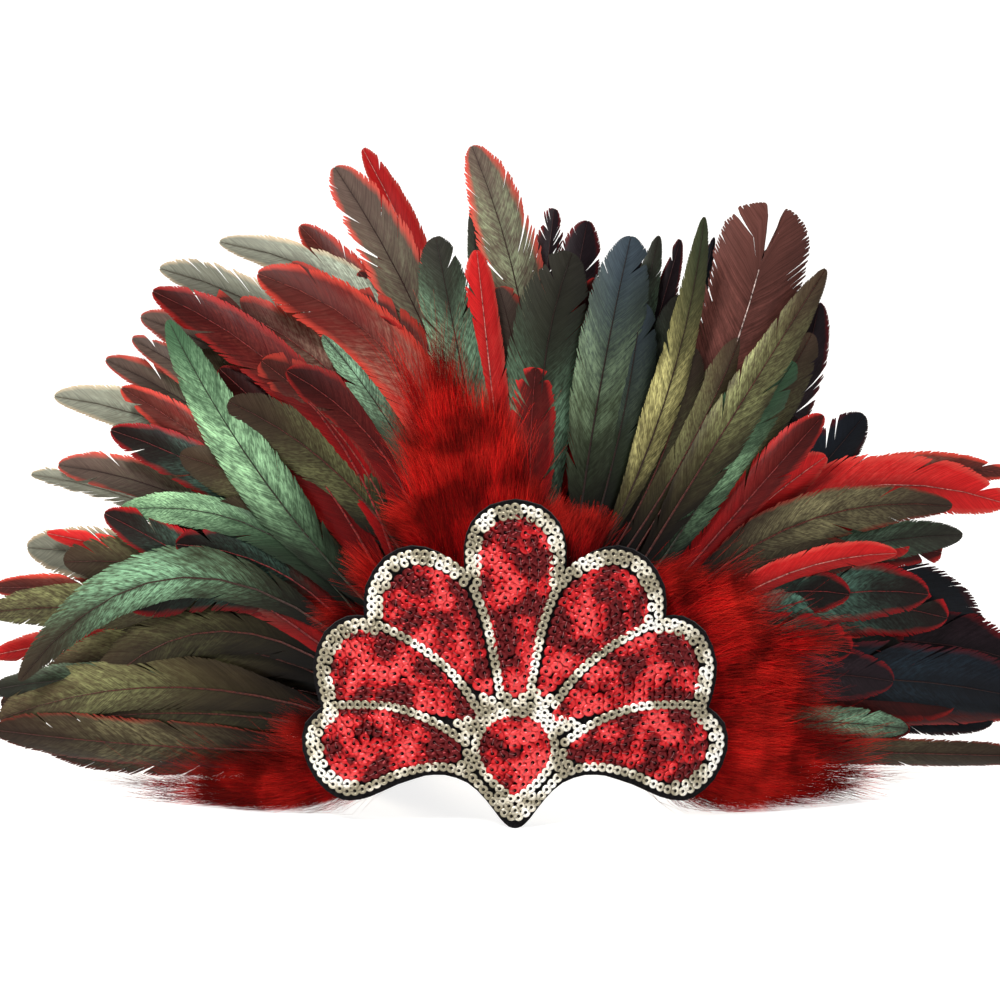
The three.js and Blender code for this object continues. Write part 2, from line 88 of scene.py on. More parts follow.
class Shader:
    """A material's node tree, with short calls for the nodes that the finishes share."""

    def __init__(self, name: str) -> None:
        """Makes a material with one Principled shader.

        Args:
            name: the material's name.
        """
        self.material = bpy.data.materials.new(name)
        self.material.use_nodes = True
        self.tree = self.material.node_tree
        self.surface = self.tree.nodes["Principled BSDF"]

    def node(self, kind: str, **settings) -> bpy.types.Node:
        """Adds a node.

        Args:
            kind: the node's type without its ShaderNode prefix.
            **settings: its properties.

        Returns:
            The node.
        """
        made = self.tree.nodes.new(f"ShaderNode{kind}")
        for key, value in settings.items():
            setattr(made, key, value)
        return made

    def feed(self, socket: bpy.types.NodeSocket, value) -> None:
        """Links a socket to an output, or sets its number or colour.

        Args:
            socket: the socket.
            value: an output, a number or a colour.
        """
        if isinstance(value, bpy.types.NodeSocket):
            self.tree.links.new(value, socket)
        else:
            socket.default_value = value

    def maths(self, operation: str, a, b=0.0, clamp: bool = False) -> bpy.types.NodeSocket:
        """Works out one sum.

        Args:
            operation: the sum, as the Math node names it.
            a: its first number or output.
            b: its second.
            clamp: whether the result is kept from 0 to 1.

        Returns:
            The result.
        """
        node = self.node("Math", operation=operation, use_clamp=clamp)
        self.feed(node.inputs[0], a)
        self.feed(node.inputs[1], b)
        return node.outputs[0]

    def mix(self, share, a, b) -> bpy.types.NodeSocket:
        """Mixes two colours.

        Args:
            share: how much of the second there is, from 0 to 1.
            a: the first colour.
            b: the second.

        Returns:
            The mixed colour.
        """
        node = self.node("Mix", data_type="RGBA")
        self.feed(node.inputs["Factor"], share)
        self.feed(node.inputs[COLOUR_A], a)
        self.feed(node.inputs[COLOUR_B], b)
        return node.outputs[COLOUR_OUT]

    def span(self, value, low: float, high: float, to_low: float = 0.0,
             to_high: float = 1.0) -> bpy.types.NodeSocket:
        """Carries a value from one range to another, clamped.

        Args:
            value: the output that gives it.
            low: the start of its range.
            high: the end of its range.
            to_low: what the start becomes.
            to_high: what the end becomes.

        Returns:
            The new value.
        """
        node = self.node("MapRange", clamp=True)
        for socket, number in zip(node.inputs, (value, low, high, to_low, to_high)):
            self.feed(socket, number)
        return node.outputs[0]

    def noise(self, vector, scale: float, detail: float = 2.0) -> bpy.types.NodeSocket:
        """Noise from 0 to 1.

        Args:
            vector: the place that it is read at.
            scale: how fine it is.
            detail: how many finer layers it has.

        Returns:
            The noise.
        """
        node = self.node("TexNoise")
        self.feed(node.inputs["Vector"], vector)
        node.inputs["Scale"].default_value = scale
        node.inputs["Detail"].default_value = detail
        return node.outputs["Fac"]

    def place(self, x, y, z) -> bpy.types.NodeSocket:
        """Puts a vector together.

        Args:
            x: its first number or output.
            y: its second.
            z: its third.

        Returns:
            The vector.
        """
        node = self.node("CombineXYZ")
        for socket, value in zip(node.inputs, (x, y, z)):
            self.feed(socket, value)
        return node.outputs[0]

    def coords(self) -> bpy.types.NodeSocket:
        """Places on the object."""
        return self.node("TexCoord").outputs["Object"]

    def attribute(self, name: str) -> bpy.types.NodeSocket:
        """The number that a mesh holds under a name."""
        return self.node("Attribute", attribute_name=name).outputs["Fac"]

    def shaded(self, colour, value) -> bpy.types.NodeSocket:
        """Makes a colour darker or paler.

        Args:
            colour: the colour.
            value: what its brightness is multiplied by.

        Returns:
            The new colour.
        """
        node = self.node("HueSaturation")
        self.feed(node.inputs["Color"], colour)
        self.feed(node.inputs["Value"], value)
        return node.outputs[0]

    def bump(self, height, strength: float, distance: float) -> None:
        """Drives the surface's normal by a height.

        Args:
            height: the output that gives it.
            strength: how much of it shows, from 0 to 1.
            distance: how high it is at 1, in metres.
        """
        node = self.node("Bump")
        node.inputs["Strength"].default_value = strength
        node.inputs["Distance"].default_value = distance
        self.feed(node.inputs["Height"], height)
        self.feed(self.surface.inputs["Normal"], node.outputs[0])

    def set(self, **sockets) -> None:
        """Sets the Principled shader's sockets, with _ for the spaces in their names."""
        for key, value in sockets.items():
            self.feed(self.surface.inputs[key.replace("_", " ")], value)


@dataclass(frozen=True)
class Plumage:
    """The finish of one kind of feather, from its foot to its tip."""

    name: str
    foot: str
    middle: str
    tip: str
    # sheen: the feather's iridescent colour, painted in as fixed patches of painted sheen
    sheen: str
    edge: str
    quill: str
    edge_from: float = 1.2
    roughness: float = 0.38
    metal: float = 0.5
    middle_at: float = 0.42
    foot_at: float = 0.16
    tip_at: float = 0.94
    edge_width: float = 0.22
    line_scale: tuple[float, float] = (1.1, 380.0)
    blotch_scale: tuple[float, float] = (1.6, 9.0)
    mottle_scale: tuple[float, float] = (9.0, 85.0)
    specular: float = 0.08
    relief: float = 0.2

    @cache
    def material(self) -> bpy.types.Material:
        """The vane's material: barb lines, blotches, a painted sheen where the mesh asks for one, painted
        shade and light from the mesh, and an edge.

        Returns:
            The material.
        """
        s = Shader(f"vane_{self.name}")
        uv = s.node("UVMap", uv_map=UV_MAP)
        split = s.node("SeparateXYZ")
        s.feed(split.inputs[0], uv.outputs[0])
        across, along = split.outputs[0], split.outputs[1]
        seed = s.maths("MULTIPLY", s.attribute("seed"), 40.0)

        def pattern(scale: tuple[float, float], detail: float = 2.0) -> bpy.types.NodeSocket:
            """Noise stretched by its scale across and along the vane, different in each feather."""
            stretched = [s.maths("MULTIPLY", way, by) for way, by in zip((across, along), scale)]
            return s.noise(s.place(*stretched, seed), 1.0, detail)

        lines, blotch = pattern(self.line_scale), pattern(self.blotch_scale, 3.0)
        ramp = s.node("ValToRGB")
        stops = ramp.color_ramp.elements
        stops[0].position, stops[0].color = self.foot_at, linear(self.foot)
        stops[1].position, stops[1].color = self.tip_at, linear(self.tip)
        stops.new(self.middle_at).color = linear(self.middle)
        wander = s.maths("MULTIPLY_ADD", blotch, 0.3)
        wander.node.inputs[2].default_value = -0.15
        s.feed(ramp.inputs[0], s.maths("ADD", along, wander))
        mottle = pattern(self.mottle_scale, 4.0)
        # painted sheen: the sheen colour mixed into the base colour where the mesh asks for it, mottled, with
        # a metallic gloss there
        shine = s.maths("MULTIPLY", s.attribute("sheen"), s.span(lines, 0.3, 0.6, 0.55, 1.05))
        shine = s.maths("MULTIPLY", shine, s.span(blotch, 0.3, 0.6, 0.3, 1.2))
        shine = s.maths("MULTIPLY", shine, s.span(mottle, 0.38, 0.62, 0.35, 1.25), clamp=True)
        colour = s.mix(shine, ramp.outputs[0], linear(self.sheen))
        rim = s.maths("ADD", across, s.maths("MULTIPLY", blotch, 0.35))
        at_rim = s.span(rim, self.edge_from, self.edge_from + self.edge_width)
        colour = s.mix(at_rim, colour, linear(self.edge))
        by_line = s.span(lines, 0.34, 0.66, 0.74, 1.2)
        by_feather = s.span(s.attribute("seed"), 0, 1, 0.75, 1.2)
        # barb lines and a random tone per feather, times the painted shade and light that the mesh holds
        value = s.maths("MULTIPLY", s.maths("MULTIPLY", by_line, by_feather), s.attribute("shade"))
        rough = s.span(lines, 0.3, 0.7, self.roughness - 0.08, self.roughness + 0.12)
        s.set(Base_Color=s.shaded(colour, value), Roughness=rough, Specular_IOR_Level=self.specular,
              Metallic=s.maths("MULTIPLY", shine, self.metal))
        s.bump(lines, 0.3, self.relief * MM)
        return s.material

    @cache
    def quill_material(self) -> bpy.types.Material:
        """The quill's material: horn, with a faint grain along it.

        Returns:
            The material.
        """
        s = Shader(f"quill_{self.quill}")
        grain = s.noise(s.coords(), 900.0)
        s.set(Base_Color=s.mix(s.span(grain, 0.3, 0.7), linear(self.quill), linear("2a1512")),
              Roughness=s.span(grain, 0.3, 0.7, 0.35, 0.5), Specular_IOR_Level=0.15)
        return s.material


OLIVE = Plumage("olive", "17110d", "30281a", "3a2c22", "8c9060", "40302a", "54261f")
MOSS = Plumage("moss", "17110d", "2e2a1a", "3a2e24", "9ccfa4", "44302a", "3c2a22")
GREEN = Plumage("green", "14110d", "262a1e", "2c2a24", "88b08e", "2c2420", "241f1b")
STEEL = Plumage("steel", "1a1510", "2e3524", "3a444c", "7c9070", "343434", "201f1b")
MINT = Plumage("mint", "171a12", "2a3c2a", "3c5a40", "b0e0ac", "4a6c4c", "2c3c2e", 1.2, 0.34)
GOLD = Plumage("gold", "221a11", "423c22", "2b3020", "c0b878", "423a24", "2e251b", 1.2, 0.36)
BRONZE = Plumage("bronze", "150d0a", "261d16", "2e221b", "86805c", "6c221a", "5c2a22", 1.0)
CHESTNUT = Plumage("chestnut", "1c0d0b", "371e19", "56332d", "8a5048", "663832", "ecd0c6", 1.2, 0.38, 0.1)
CRIMSON = Plumage("crimson", "a80a0e", "5c0e0f", "38110f", "9a4238", "a02320", "8c2c2a", 0.9, 0.38, 0.4, 0.5)
RED = Plumage("red", "8c080c", "a00f12", "b01c1c", "d85c50", "b83c34", "d88a80", 0.92, 0.44, 0.05)
CORAL = Plumage("coral", "c40c10", "641614", "4c221d", "b89c84", "b43a2e", "8c3a32", 0.84, 0.38, 0.4, 0.58)
TAUPE = Plumage("taupe", "8c1010", "3a2a24", "574740", "98a480", "b84a3e", "2c1d19", 0.88)
PALE = Plumage("pale", "2a261e", "484636", "77776a", "bccab2", "b8a488", "5c5444", 0.95, 0.42, 0.15)
PLUM = Plumage("plum", "0b0506", "12080a", "1a1115", "4c3c42", "5a1014", "3a1418", 0.94)
NAVY = Plumage("navy", "090508", "0a090c", "0e1016", "24343e", "3c0c10", "1c1114", 0.98)
RIMMED = Plumage("rimmed", "a0080c", "140b09", "1c100f", "74a690", "921418", "7c2424", 0.9, 0.38, 0.5, 0.5)


# The surfaces that the pieces lie on


@dataclass(frozen=True)
class Fan:
    """The surfaces of the patch and of the fan behind it, in millimetres from the foot of the patch."""

    brow_radius: float = 300.0
    side_sweep: float = 0.36
    top_sweep: float = 0.2
    arch_height: float = 51.0
    arch_radius: float = 52.0
    tape_width: float = 10.0
    tape_thickness: float = 1.7
    root_depth: float = 0.6
    sheet_pitch: float = 5.0
    root_closing: float = 0.4
    opening_length: float = 150.0
    first_sheet: float = 5.45
    ply: float = 1.3
    sight_distance: float = 1200.0
    sight_angle: float = 9.0
    sight_x: float = -6.0
    sight_z: float = 131.0

    @property
    def rim(self) -> float:
        """The outer radius of the tapes."""
        return self.arch_radius + self.tape_width / 2

    def brow_depth(self, x: Array) -> Array:
        """Depth of the patch's front behind its middle."""
        return x * x / (2 * self.brow_radius)

    def depth(self, x: Array, z: Array) -> Array:
        """Depth of the fan's ruled surface.

        Args:
            x: places across.
            z: places up.

        Returns:
            The depth at each, behind the middle of the patch's front.
        """
        distance = np.maximum(np.hypot(x, z - self.arch_height), TINY)
        across, up = x / distance, (z - self.arch_height) / distance
        sweep = np.hypot(self.side_sweep * across, self.top_sweep * up)
        at_arch = self.brow_depth(across * np.minimum(distance, self.rim))
        return at_arch + sweep * np.maximum(0, distance - self.rim)

    def opening(self, x: Array, z: Array) -> Array:
        """How far the sheets have opened from each other at a place."""
        outside = (np.hypot(x, z - self.arch_height) - self.rim) / self.opening_length
        return self.root_closing + (1 - self.root_closing) * np.clip(outside, 0, 1)

    def sheet_depth(self, x: Array, z: Array, sheet: float, ply: float) -> Array:
        """Depth of a sheet of feathers.

        Args:
            x: places across.
            z: places up.
            sheet: the sheet, counted from the front.
            ply: how far before or behind its middle, in plies.

        Returns:
            The depth at each place.
        """
        behind_first = (sheet + 0.5) * self.sheet_pitch + ply * self.ply
        return self.depth(x, z) + self.first_sheet + self.opening(x, z) * behind_first

    def arch_point(self, degrees: float, radius: float) -> tuple[float, float]:
        """The place on the arch at an angle."""
        angle = math.radians(degrees)
        return radius * math.cos(angle), self.arch_height + radius * math.sin(angle)

    def place_of(self, seen_x: float, seen_z: float, sheet: float) -> tuple[float, float]:
        """Carries a point from where it is seen, on the plane of the patch, back to its sheet.

        Args:
            seen_x: how far right of the foot it is seen.
            seen_z: how far above the foot.
            sheet: the sheet that it lies in.

        Returns:
            Its true place across and up.
        """
        x, z = seen_x, seen_z
        rise = math.tan(math.radians(self.sight_angle))
        for _ in range(3):
            depth = float(self.sheet_depth(np.float64(x), np.float64(z), sheet, 0))
            scale = 1 + depth / self.sight_distance
            x = self.sight_x + (seen_x - self.sight_x) * scale
            z = self.sight_z + (seen_z - self.sight_z) * scale - depth * rise
        return x, z


FAN = Fan()
LOW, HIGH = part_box("felt_backing")
FOOT = np.array([(LOW.x + HIGH.x) / 2, LOW.y, 0.0])


def to_row(points: Array) -> Array:
    """Millimetres from the patch's foot, turned into metres in the row frame."""
    return points * MM + FOOT


# Shared shapes


def mesh_of(bm: bmesh.types.BMesh, name: str, layers: Sequence[str] = ()) -> bpy.types.Mesh:
    """Turns a bmesh into a mesh and frees it.

    Args:
        bm: the bmesh.
        name: the mesh's name.
        layers: the numbers that each of its corners is to hold.

    Returns:
        The mesh.
    """
    mesh = bpy.data.meshes.new(name)
    bm.to_mesh(mesh)
    bm.free()
    for layer in layers:
        mesh.attributes.new(layer, "FLOAT", "POINT")
    return mesh


def prism(sides: int, rings: int) -> bmesh.types.BMesh:
    """A closed tube with a radius and a height of 1.

    Args:
        sides: how many sides it has.
        rings: how many stretches it has along its height.

    Returns:
        The tube.
    """
    bm = bmesh.new()
    bmesh.ops.create_cone(bm, cap_ends=True, segments=sides, radius1=1, radius2=1, depth=1)
    upright = [e for e in bm.edges if abs(e.verts[0].co.z - e.verts[1].co.z) > 0.5]
    bmesh.ops.subdivide_edges(bm, edges=upright, cuts=rings - 1, use_grid_fill=True)
    return bm


class Tip(Enum):
    """How a feather ends: where its vane starts to close, and how full the curve is."""

    ROUND = (0.74, 2.1)
    POINTED = (0.45, 1.7)
    NOTCHED = (0.86, 3.0)


@dataclass(frozen=True)
class Feather:
    """One feather of the chart.

    It holds its root on the arch in degrees, its tip as seen, its bow, its width and its finish.
    """

    root: float
    tip_x: float
    tip_z: float
    bend: float
    width: float
    plumage: Plumage
    # sheen and sheen_at: how strong the painted sheen is and where along the feather it lies
    sheen: float = 0.3
    sheen_at: float = 0.6
    tip: Tip = Tip.ROUND
    fray: float = 0.03


class Quill:
    """A bowed line in the plane of the fan, from a root to a tip, in millimetres."""

    def __init__(self, start: tuple[float, float], end: tuple[float, float], bend: float) -> None:
        """Sets the curve.

        Args:
            start: its root across and up.
            end: its tip.
            bend: how far its middle bows anticlockwise of the straight line.
        """
        self.start, self.end = np.array(start), np.array(end)
        along = self.end - self.start
        self.length = float(np.hypot(*along))
        along = along / self.length
        self.control = (self.start + self.end) / 2 + np.array([-along[1], along[0]]) * 2 * bend

    def at(self, t: Array) -> Array:
        """Places on the line."""
        t = np.asarray(t, float)[:, None]
        return (1 - t) ** 2 * self.start + 2 * t * (1 - t) * self.control + t * t * self.end

    def side(self, t: Array) -> Array:
        """Unit vectors to the line's anticlockwise side.

        Args:
            t: shares of the way along it.

        Returns:
            A vector for each.
        """
        t = np.asarray(t, float)[:, None]
        along = 2 * (1 - t) * (self.control - self.start) + 2 * t * (self.end - self.control)
        along /= np.hypot(along[:, 0], along[:, 1])[:, None]
        return np.stack([-along[:, 1], along[:, 0]], axis=1)


class StripField:
    """A flat field of strips that are cut apart from each other: the barbs of a vane, or strands of down."""

    def __init__(self, strips: int, segments: int) -> None:
        """Makes the field and notes where each corner lies in it.

        Args:
            strips: how many strips.
            segments: how many faces each has along its length.
        """
        bm = bmesh.new()
        bm.loops.layers.uv.new(UV_MAP)
        bmesh.ops.create_grid(bm, x_segments=strips, y_segments=segments, size=0.5)
        inner = [e for e in bm.edges
                 if len(e.link_faces) == 2 and abs(e.verts[0].co.x - e.verts[1].co.x) < TINY]
        bmesh.ops.split_edges(bm, edges=inner)
        bm.verts.index_update()
        strip = np.zeros(len(bm.verts))
        for face in bm.faces:
            for vert in face.verts:
                strip[vert.index] = math.floor((face.calc_center_median().x + 0.5) * strips)
        co = np.array([vert.co for vert in bm.verts])
        self.mesh = mesh_of(bm, "strip_field", LAYERS)
        self.strips = strips
        self.strip = strip.astype(int)
        self.edge = np.sign((co[:, 0] + 0.5) * strips - strip - 0.5)
        self.out = co[:, 1] + 0.5


class Tube:
    """A six-sided tube of unit size, for a quill."""

    def __init__(self, rings: int) -> None:
        """Makes the tube and notes the angle and the height of each corner.

        Args:
            rings: how many stretches it has along its length.
        """
        bm = prism(6, rings)
        bm.loops.layers.uv.new(UV_MAP)
        co = np.array([vert.co for vert in bm.verts])
        self.mesh = mesh_of(bm, "tube", LAYERS)
        self.angle = np.arctan2(co[:, 1], co[:, 0])
        self.along = co[:, 2] + 0.5


class Assembly:
    """A piece gathered from many placed copies of small meshes."""

    def __init__(self, name: str, slot: str, nodes: Sequence[str]) -> None:
        """Starts an empty piece.

        Args:
            name: the piece's name.
            slot: the record's material slot; it is kept, but nothing uses it.
            nodes: the CAD nodes that it stands for.
        """
        self.name, self.slot, self.nodes = name, slot, nodes
        self.bm = bmesh.new()
        self.materials: list[bpy.types.Material] = []

    def material_index(self, material: bpy.types.Material) -> int:
        """The place of a material among the piece's own, added if it isn't there.

        Args:
            material: the material.

        Returns:
            Its place.
        """
        if material not in self.materials:
            self.materials.append(material)
        return self.materials.index(material)

    def add(self, mesh: bpy.types.Mesh, points: Array, material: bpy.types.Material,
            uv: Array | None = None, **layers: float | Array) -> None:
        """Adds a copy of a mesh with its corners at new places.

        Args:
            mesh: the mesh to copy.
            points: a place for each of its vertices, in millimetres from the patch's foot.
            material: the finish of the copy.
            uv: where each vertex lies on the barbs' map.
            **layers: numbers for its finish, each one for the whole copy or one for each vertex: "seed"
            makes its pattern differ from the others', "sheen" asks for a painted sheen, "shade" holds
            painted shade and light, in the down with a random tone, that make it darker or paler.
        """
        copy = mesh.copy()
        copy.vertices.foreach_set("co", to_row(points).astype(np.float32).ravel())
        count = len(copy.vertices)
        for layer, values in layers.items():
            spread = np.broadcast_to(np.asarray(values, np.float32), (count,))
            copy.attributes[layer].data.foreach_set("value", np.ascontiguousarray(spread))
        if uv is not None:
            corner = np.zeros(len(copy.loops), int)
            copy.loops.foreach_get("vertex_index", corner)
            copy.uv_layers[0].data.foreach_set("uv", uv[corner].astype(np.float32).ravel())
        index = self.material_index(material)
        copy.polygons.foreach_set("material_index", np.full(len(copy.polygons), index, np.int32))
        copy.polygons.foreach_set("use_smooth", np.ones(len(copy.polygons), bool))
        self.bm.from_mesh(copy)
        bpy.data.meshes.remove(copy)

    def finish(self) -> bpy.types.Object:
        """Turns the piece into an object that rides on the part and stands for its nodes.

        Returns:
            The object.
        """
        mesh = mesh_of(self.bm, self.name)
        for material in self.materials:
            mesh.materials.append(material)
        piece = bpy.data.objects.new(self.name, mesh)
        bpy.context.scene.collection.objects.link(piece)
        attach(piece, "root")
        if self.nodes:
            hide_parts(*self.nodes)
        LOG.info("%s: %d faces", self.name, len(mesh.polygons))
        return piece


VANE = StripField(176, 4)
DOWN = StripField(300, 3)
TUBE = Tube(10)


@dataclass
class FeatherMaker:
    """Shapes single feathers for the bunches."""

    random: np.random.Generator
    bare: float = 0.05
    last_barb: float = 0.997
    notched_quill: float = 0.84
    barb_slope: float = 1.7
    overlap: float = 1.3
    quill_radius: float = 0.55
    quill_proud: float = 0.15
    floor_gap: float = 0.6
    foot_width: float = 0.14
    width_change: float = 0.12
    twist: float = 0.25
    curl: tuple[float, float] = (-5.0, 8.0)
    camber: tuple[float, float] = (2.0, 5.0)
    lift: float = 0.07
    sheen_spread: float = 0.19
    # painted shade and light on the vanes: darker at the foot between neighbours, lighter on the half that
    # faces light_way, darker beside the quill
    foot_shade: float = 0.32
    foot_range: tuple[float, float] = (66.0, 128.0)
    half_shade: float = 0.45
    light_way: tuple[float, float] = (-0.75, 0.66)

    def outline(self, t: Array, tip: Tip) -> Array:
        """Half of a vane's width along it, as a share of its fullest.

        Args:
            t: shares of the way along it.
            tip: how it ends.

        Returns:
            A share for each.
        """
        foot = self.foot_width + (1 - self.foot_width) * smooth(t, 0.0, 0.5)
        start, power = tip.value
        end = np.clip((t - start) / (1 - start), 0, 1)
        return foot * np.sqrt(np.clip(1 - end ** power, 0, 1))

    def splits(self, count: int, length: float) -> Array:
        """Parts the vane in a few places.

        Args:
            count: how many barbs one side has.
            length: the quill's length.

        Returns:
            How far along the quill each barb's end is pushed, as a share of its length.
        """
        shift = np.zeros(count)
        for _ in range(self.random.integers(1, 5)):
            at = self.random.uniform(0.12, 0.92) * count
            width, push = self.random.uniform(0.03, 0.1) * count, self.random.uniform(0.5, 2.6)
            distance = np.arange(count) - at
            shift += np.sign(distance) * push * np.exp(-np.abs(distance) / width)
        return shift / length

    def reach(self, count: int, fray: float) -> Array:
        """How long each barb is against the smooth outline.

        Args:
            count: how many barbs there are.
            fray: how much they differ.

        Returns:
            A share for each.
        """
        loose = self.random.normal(0, 1, count)
        slow = np.convolve(self.random.normal(0, 1, count + 8), np.ones(9) / 3, "valid")
        return np.clip(1 + fray * (0.6 * loose + 0.7 * slow), 0.5, 1.12)

    def shade(self, flat: Array, facing: Array, out: Array) -> Array:
        """Painted shade and light of a vane: darker at its foot between its neighbours, lighter on the half
        that faces the light and darker on its far half, and darker along its quill.

        Args:
            flat: places across and up.
            facing: how far each place leans to the light, from -1 to 1.
            out: how far out along its barb each place lies.

        Returns:
            A share of the finish's own colour at each place.
        """
        distance = np.hypot(flat[:, 0], flat[:, 1] - FAN.arch_height)
        foot = self.foot_shade + (1 - self.foot_shade) * smooth(distance, *self.foot_range)
        return foot * (1 + self.half_shade * facing) * (0.72 + 0.28 * smooth(out, 0.0, 0.14))

    def vane(self, piece: Assembly, feather: Feather, quill: Quill, depth_of: DepthAt,
             painted_behind_shade: float = 1.0) -> None:
        """Adds one feather to a piece: its barbs on both sides and its quill.

        Args:
            piece: the piece.
            feather: its line of the chart.
            quill: the curve that it follows.
            depth_of: the depth of its sheet at places across and up.
            painted_behind_shade: painted shade for a feather that lies behind others, multiplied into its
                colour.
        """
        rng = self.random
        per_side = VANE.strips // 2
        side = np.where(VANE.strip < per_side, -1.0, 1.0)
        barb = VANE.strip % per_side
        out = 1 - (1 - VANE.out) ** 1.5
        half = feather.width / 2 * (1 + rng.uniform(-self.width_change, self.width_change) * side)
        twist, curl = rng.uniform(-self.twist, self.twist), rng.uniform(*self.curl)
        camber = rng.uniform(*self.camber)
        reach = self.reach(VANE.strips, feather.fray)[VANE.strip]
        lift = rng.normal(0, self.lift, VANE.strips)[VANE.strip]
        shifts = np.concatenate([self.splits(per_side, quill.length) for _ in range(2)])
        step = 0.5 * VANE.edge * self.overlap * (1 - 0.5 * smooth(out, 0.88, 1.0))
        root = np.clip(self.bare + (self.last_barb - self.bare) * (barb + 0.5 + step) / per_side, 0, 0.998)
        slope = self.barb_slope * half * self.outline(root, feather.tip) / quill.length + 0.03
        end = root + slope * (1 - root) / (1 - root + slope)
        t = np.clip(root + (end - root) * out ** 1.15 + shifts[VANE.strip] * out ** 2, 0, 1)
        lateral = side * half * self.outline(end, feather.tip) * out ** 0.95 * reach
        if feather.tip is Tip.NOTCHED:
            t -= 0.13 * smooth(t, 0.75, 1.0) * np.exp(-((lateral + 1.0) / 2.0) ** 2)
        flat = self.on_floor(quill.at(t) + quill.side(t) * lateral[:, None])
        share = FAN.opening(flat[:, 0], flat[:, 1])
        depth = depth_of(flat[:, 0], flat[:, 1])
        depth += share * (camber * (lateral / half) ** 2 + twist * lateral + lift * out + curl * t ** 3)
        points = np.stack([flat[:, 0], depth, flat[:, 1]], axis=1)
        # where the painted sheen lies along the feather
        glow = feather.sheen * np.exp(-((root - feather.sheen_at) / self.sheen_spread) ** 2)
        uv = np.stack([out, root], axis=1)
        # painted light and shade: the half that leans to light_way is painted lighter, the other half darker
        facing = (quill.side(end) @ np.array(self.light_way)) * lateral / half
        piece.add(VANE.mesh, points, feather.plumage.material(), uv, seed=rng.uniform(),
                  sheen=np.clip(glow, 0, 1), shade=painted_behind_shade * self.shade(flat, facing, out))
        self.quill(piece, feather, quill, depth_of, curl)

    def on_floor(self, flat: Array) -> Array:
        """The same places, lifted where they lie lower than a little above the floor."""
        flat[:, 1] = np.maximum(flat[:, 1], self.floor_gap)
        return flat

    def quill(self, piece: Assembly, feather: Feather, quill: Quill, depth_of: DepthAt, curl: float) -> None:
        """Adds the quill, a tapered tube a little proud of the vane's face.

        Args:
            piece: the piece.
            feather: the feather's line of the chart.
            quill: the curve that it follows.
            depth_of: the depth of its sheet at places across and up.
            curl: how far its tip curls back.
        """
        t = TUBE.along * (self.last_barb if feather.tip is not Tip.NOTCHED else self.notched_quill)
        radius = self.quill_radius * (1 - 0.85 * t) * (0.7 + feather.width / 60)
        flat = self.on_floor(quill.at(t) + quill.side(t) * (radius * np.cos(TUBE.angle))[:, None])
        depth = depth_of(flat[:, 0], flat[:, 1]) + FAN.opening(flat[:, 0], flat[:, 1]) * curl * t ** 3
        depth += radius * np.sin(TUBE.angle) - self.quill_proud
        points = np.stack([flat[:, 0], depth, flat[:, 1]], axis=1)
        piece.add(TUBE.mesh, points, feather.plumage.quill_material())


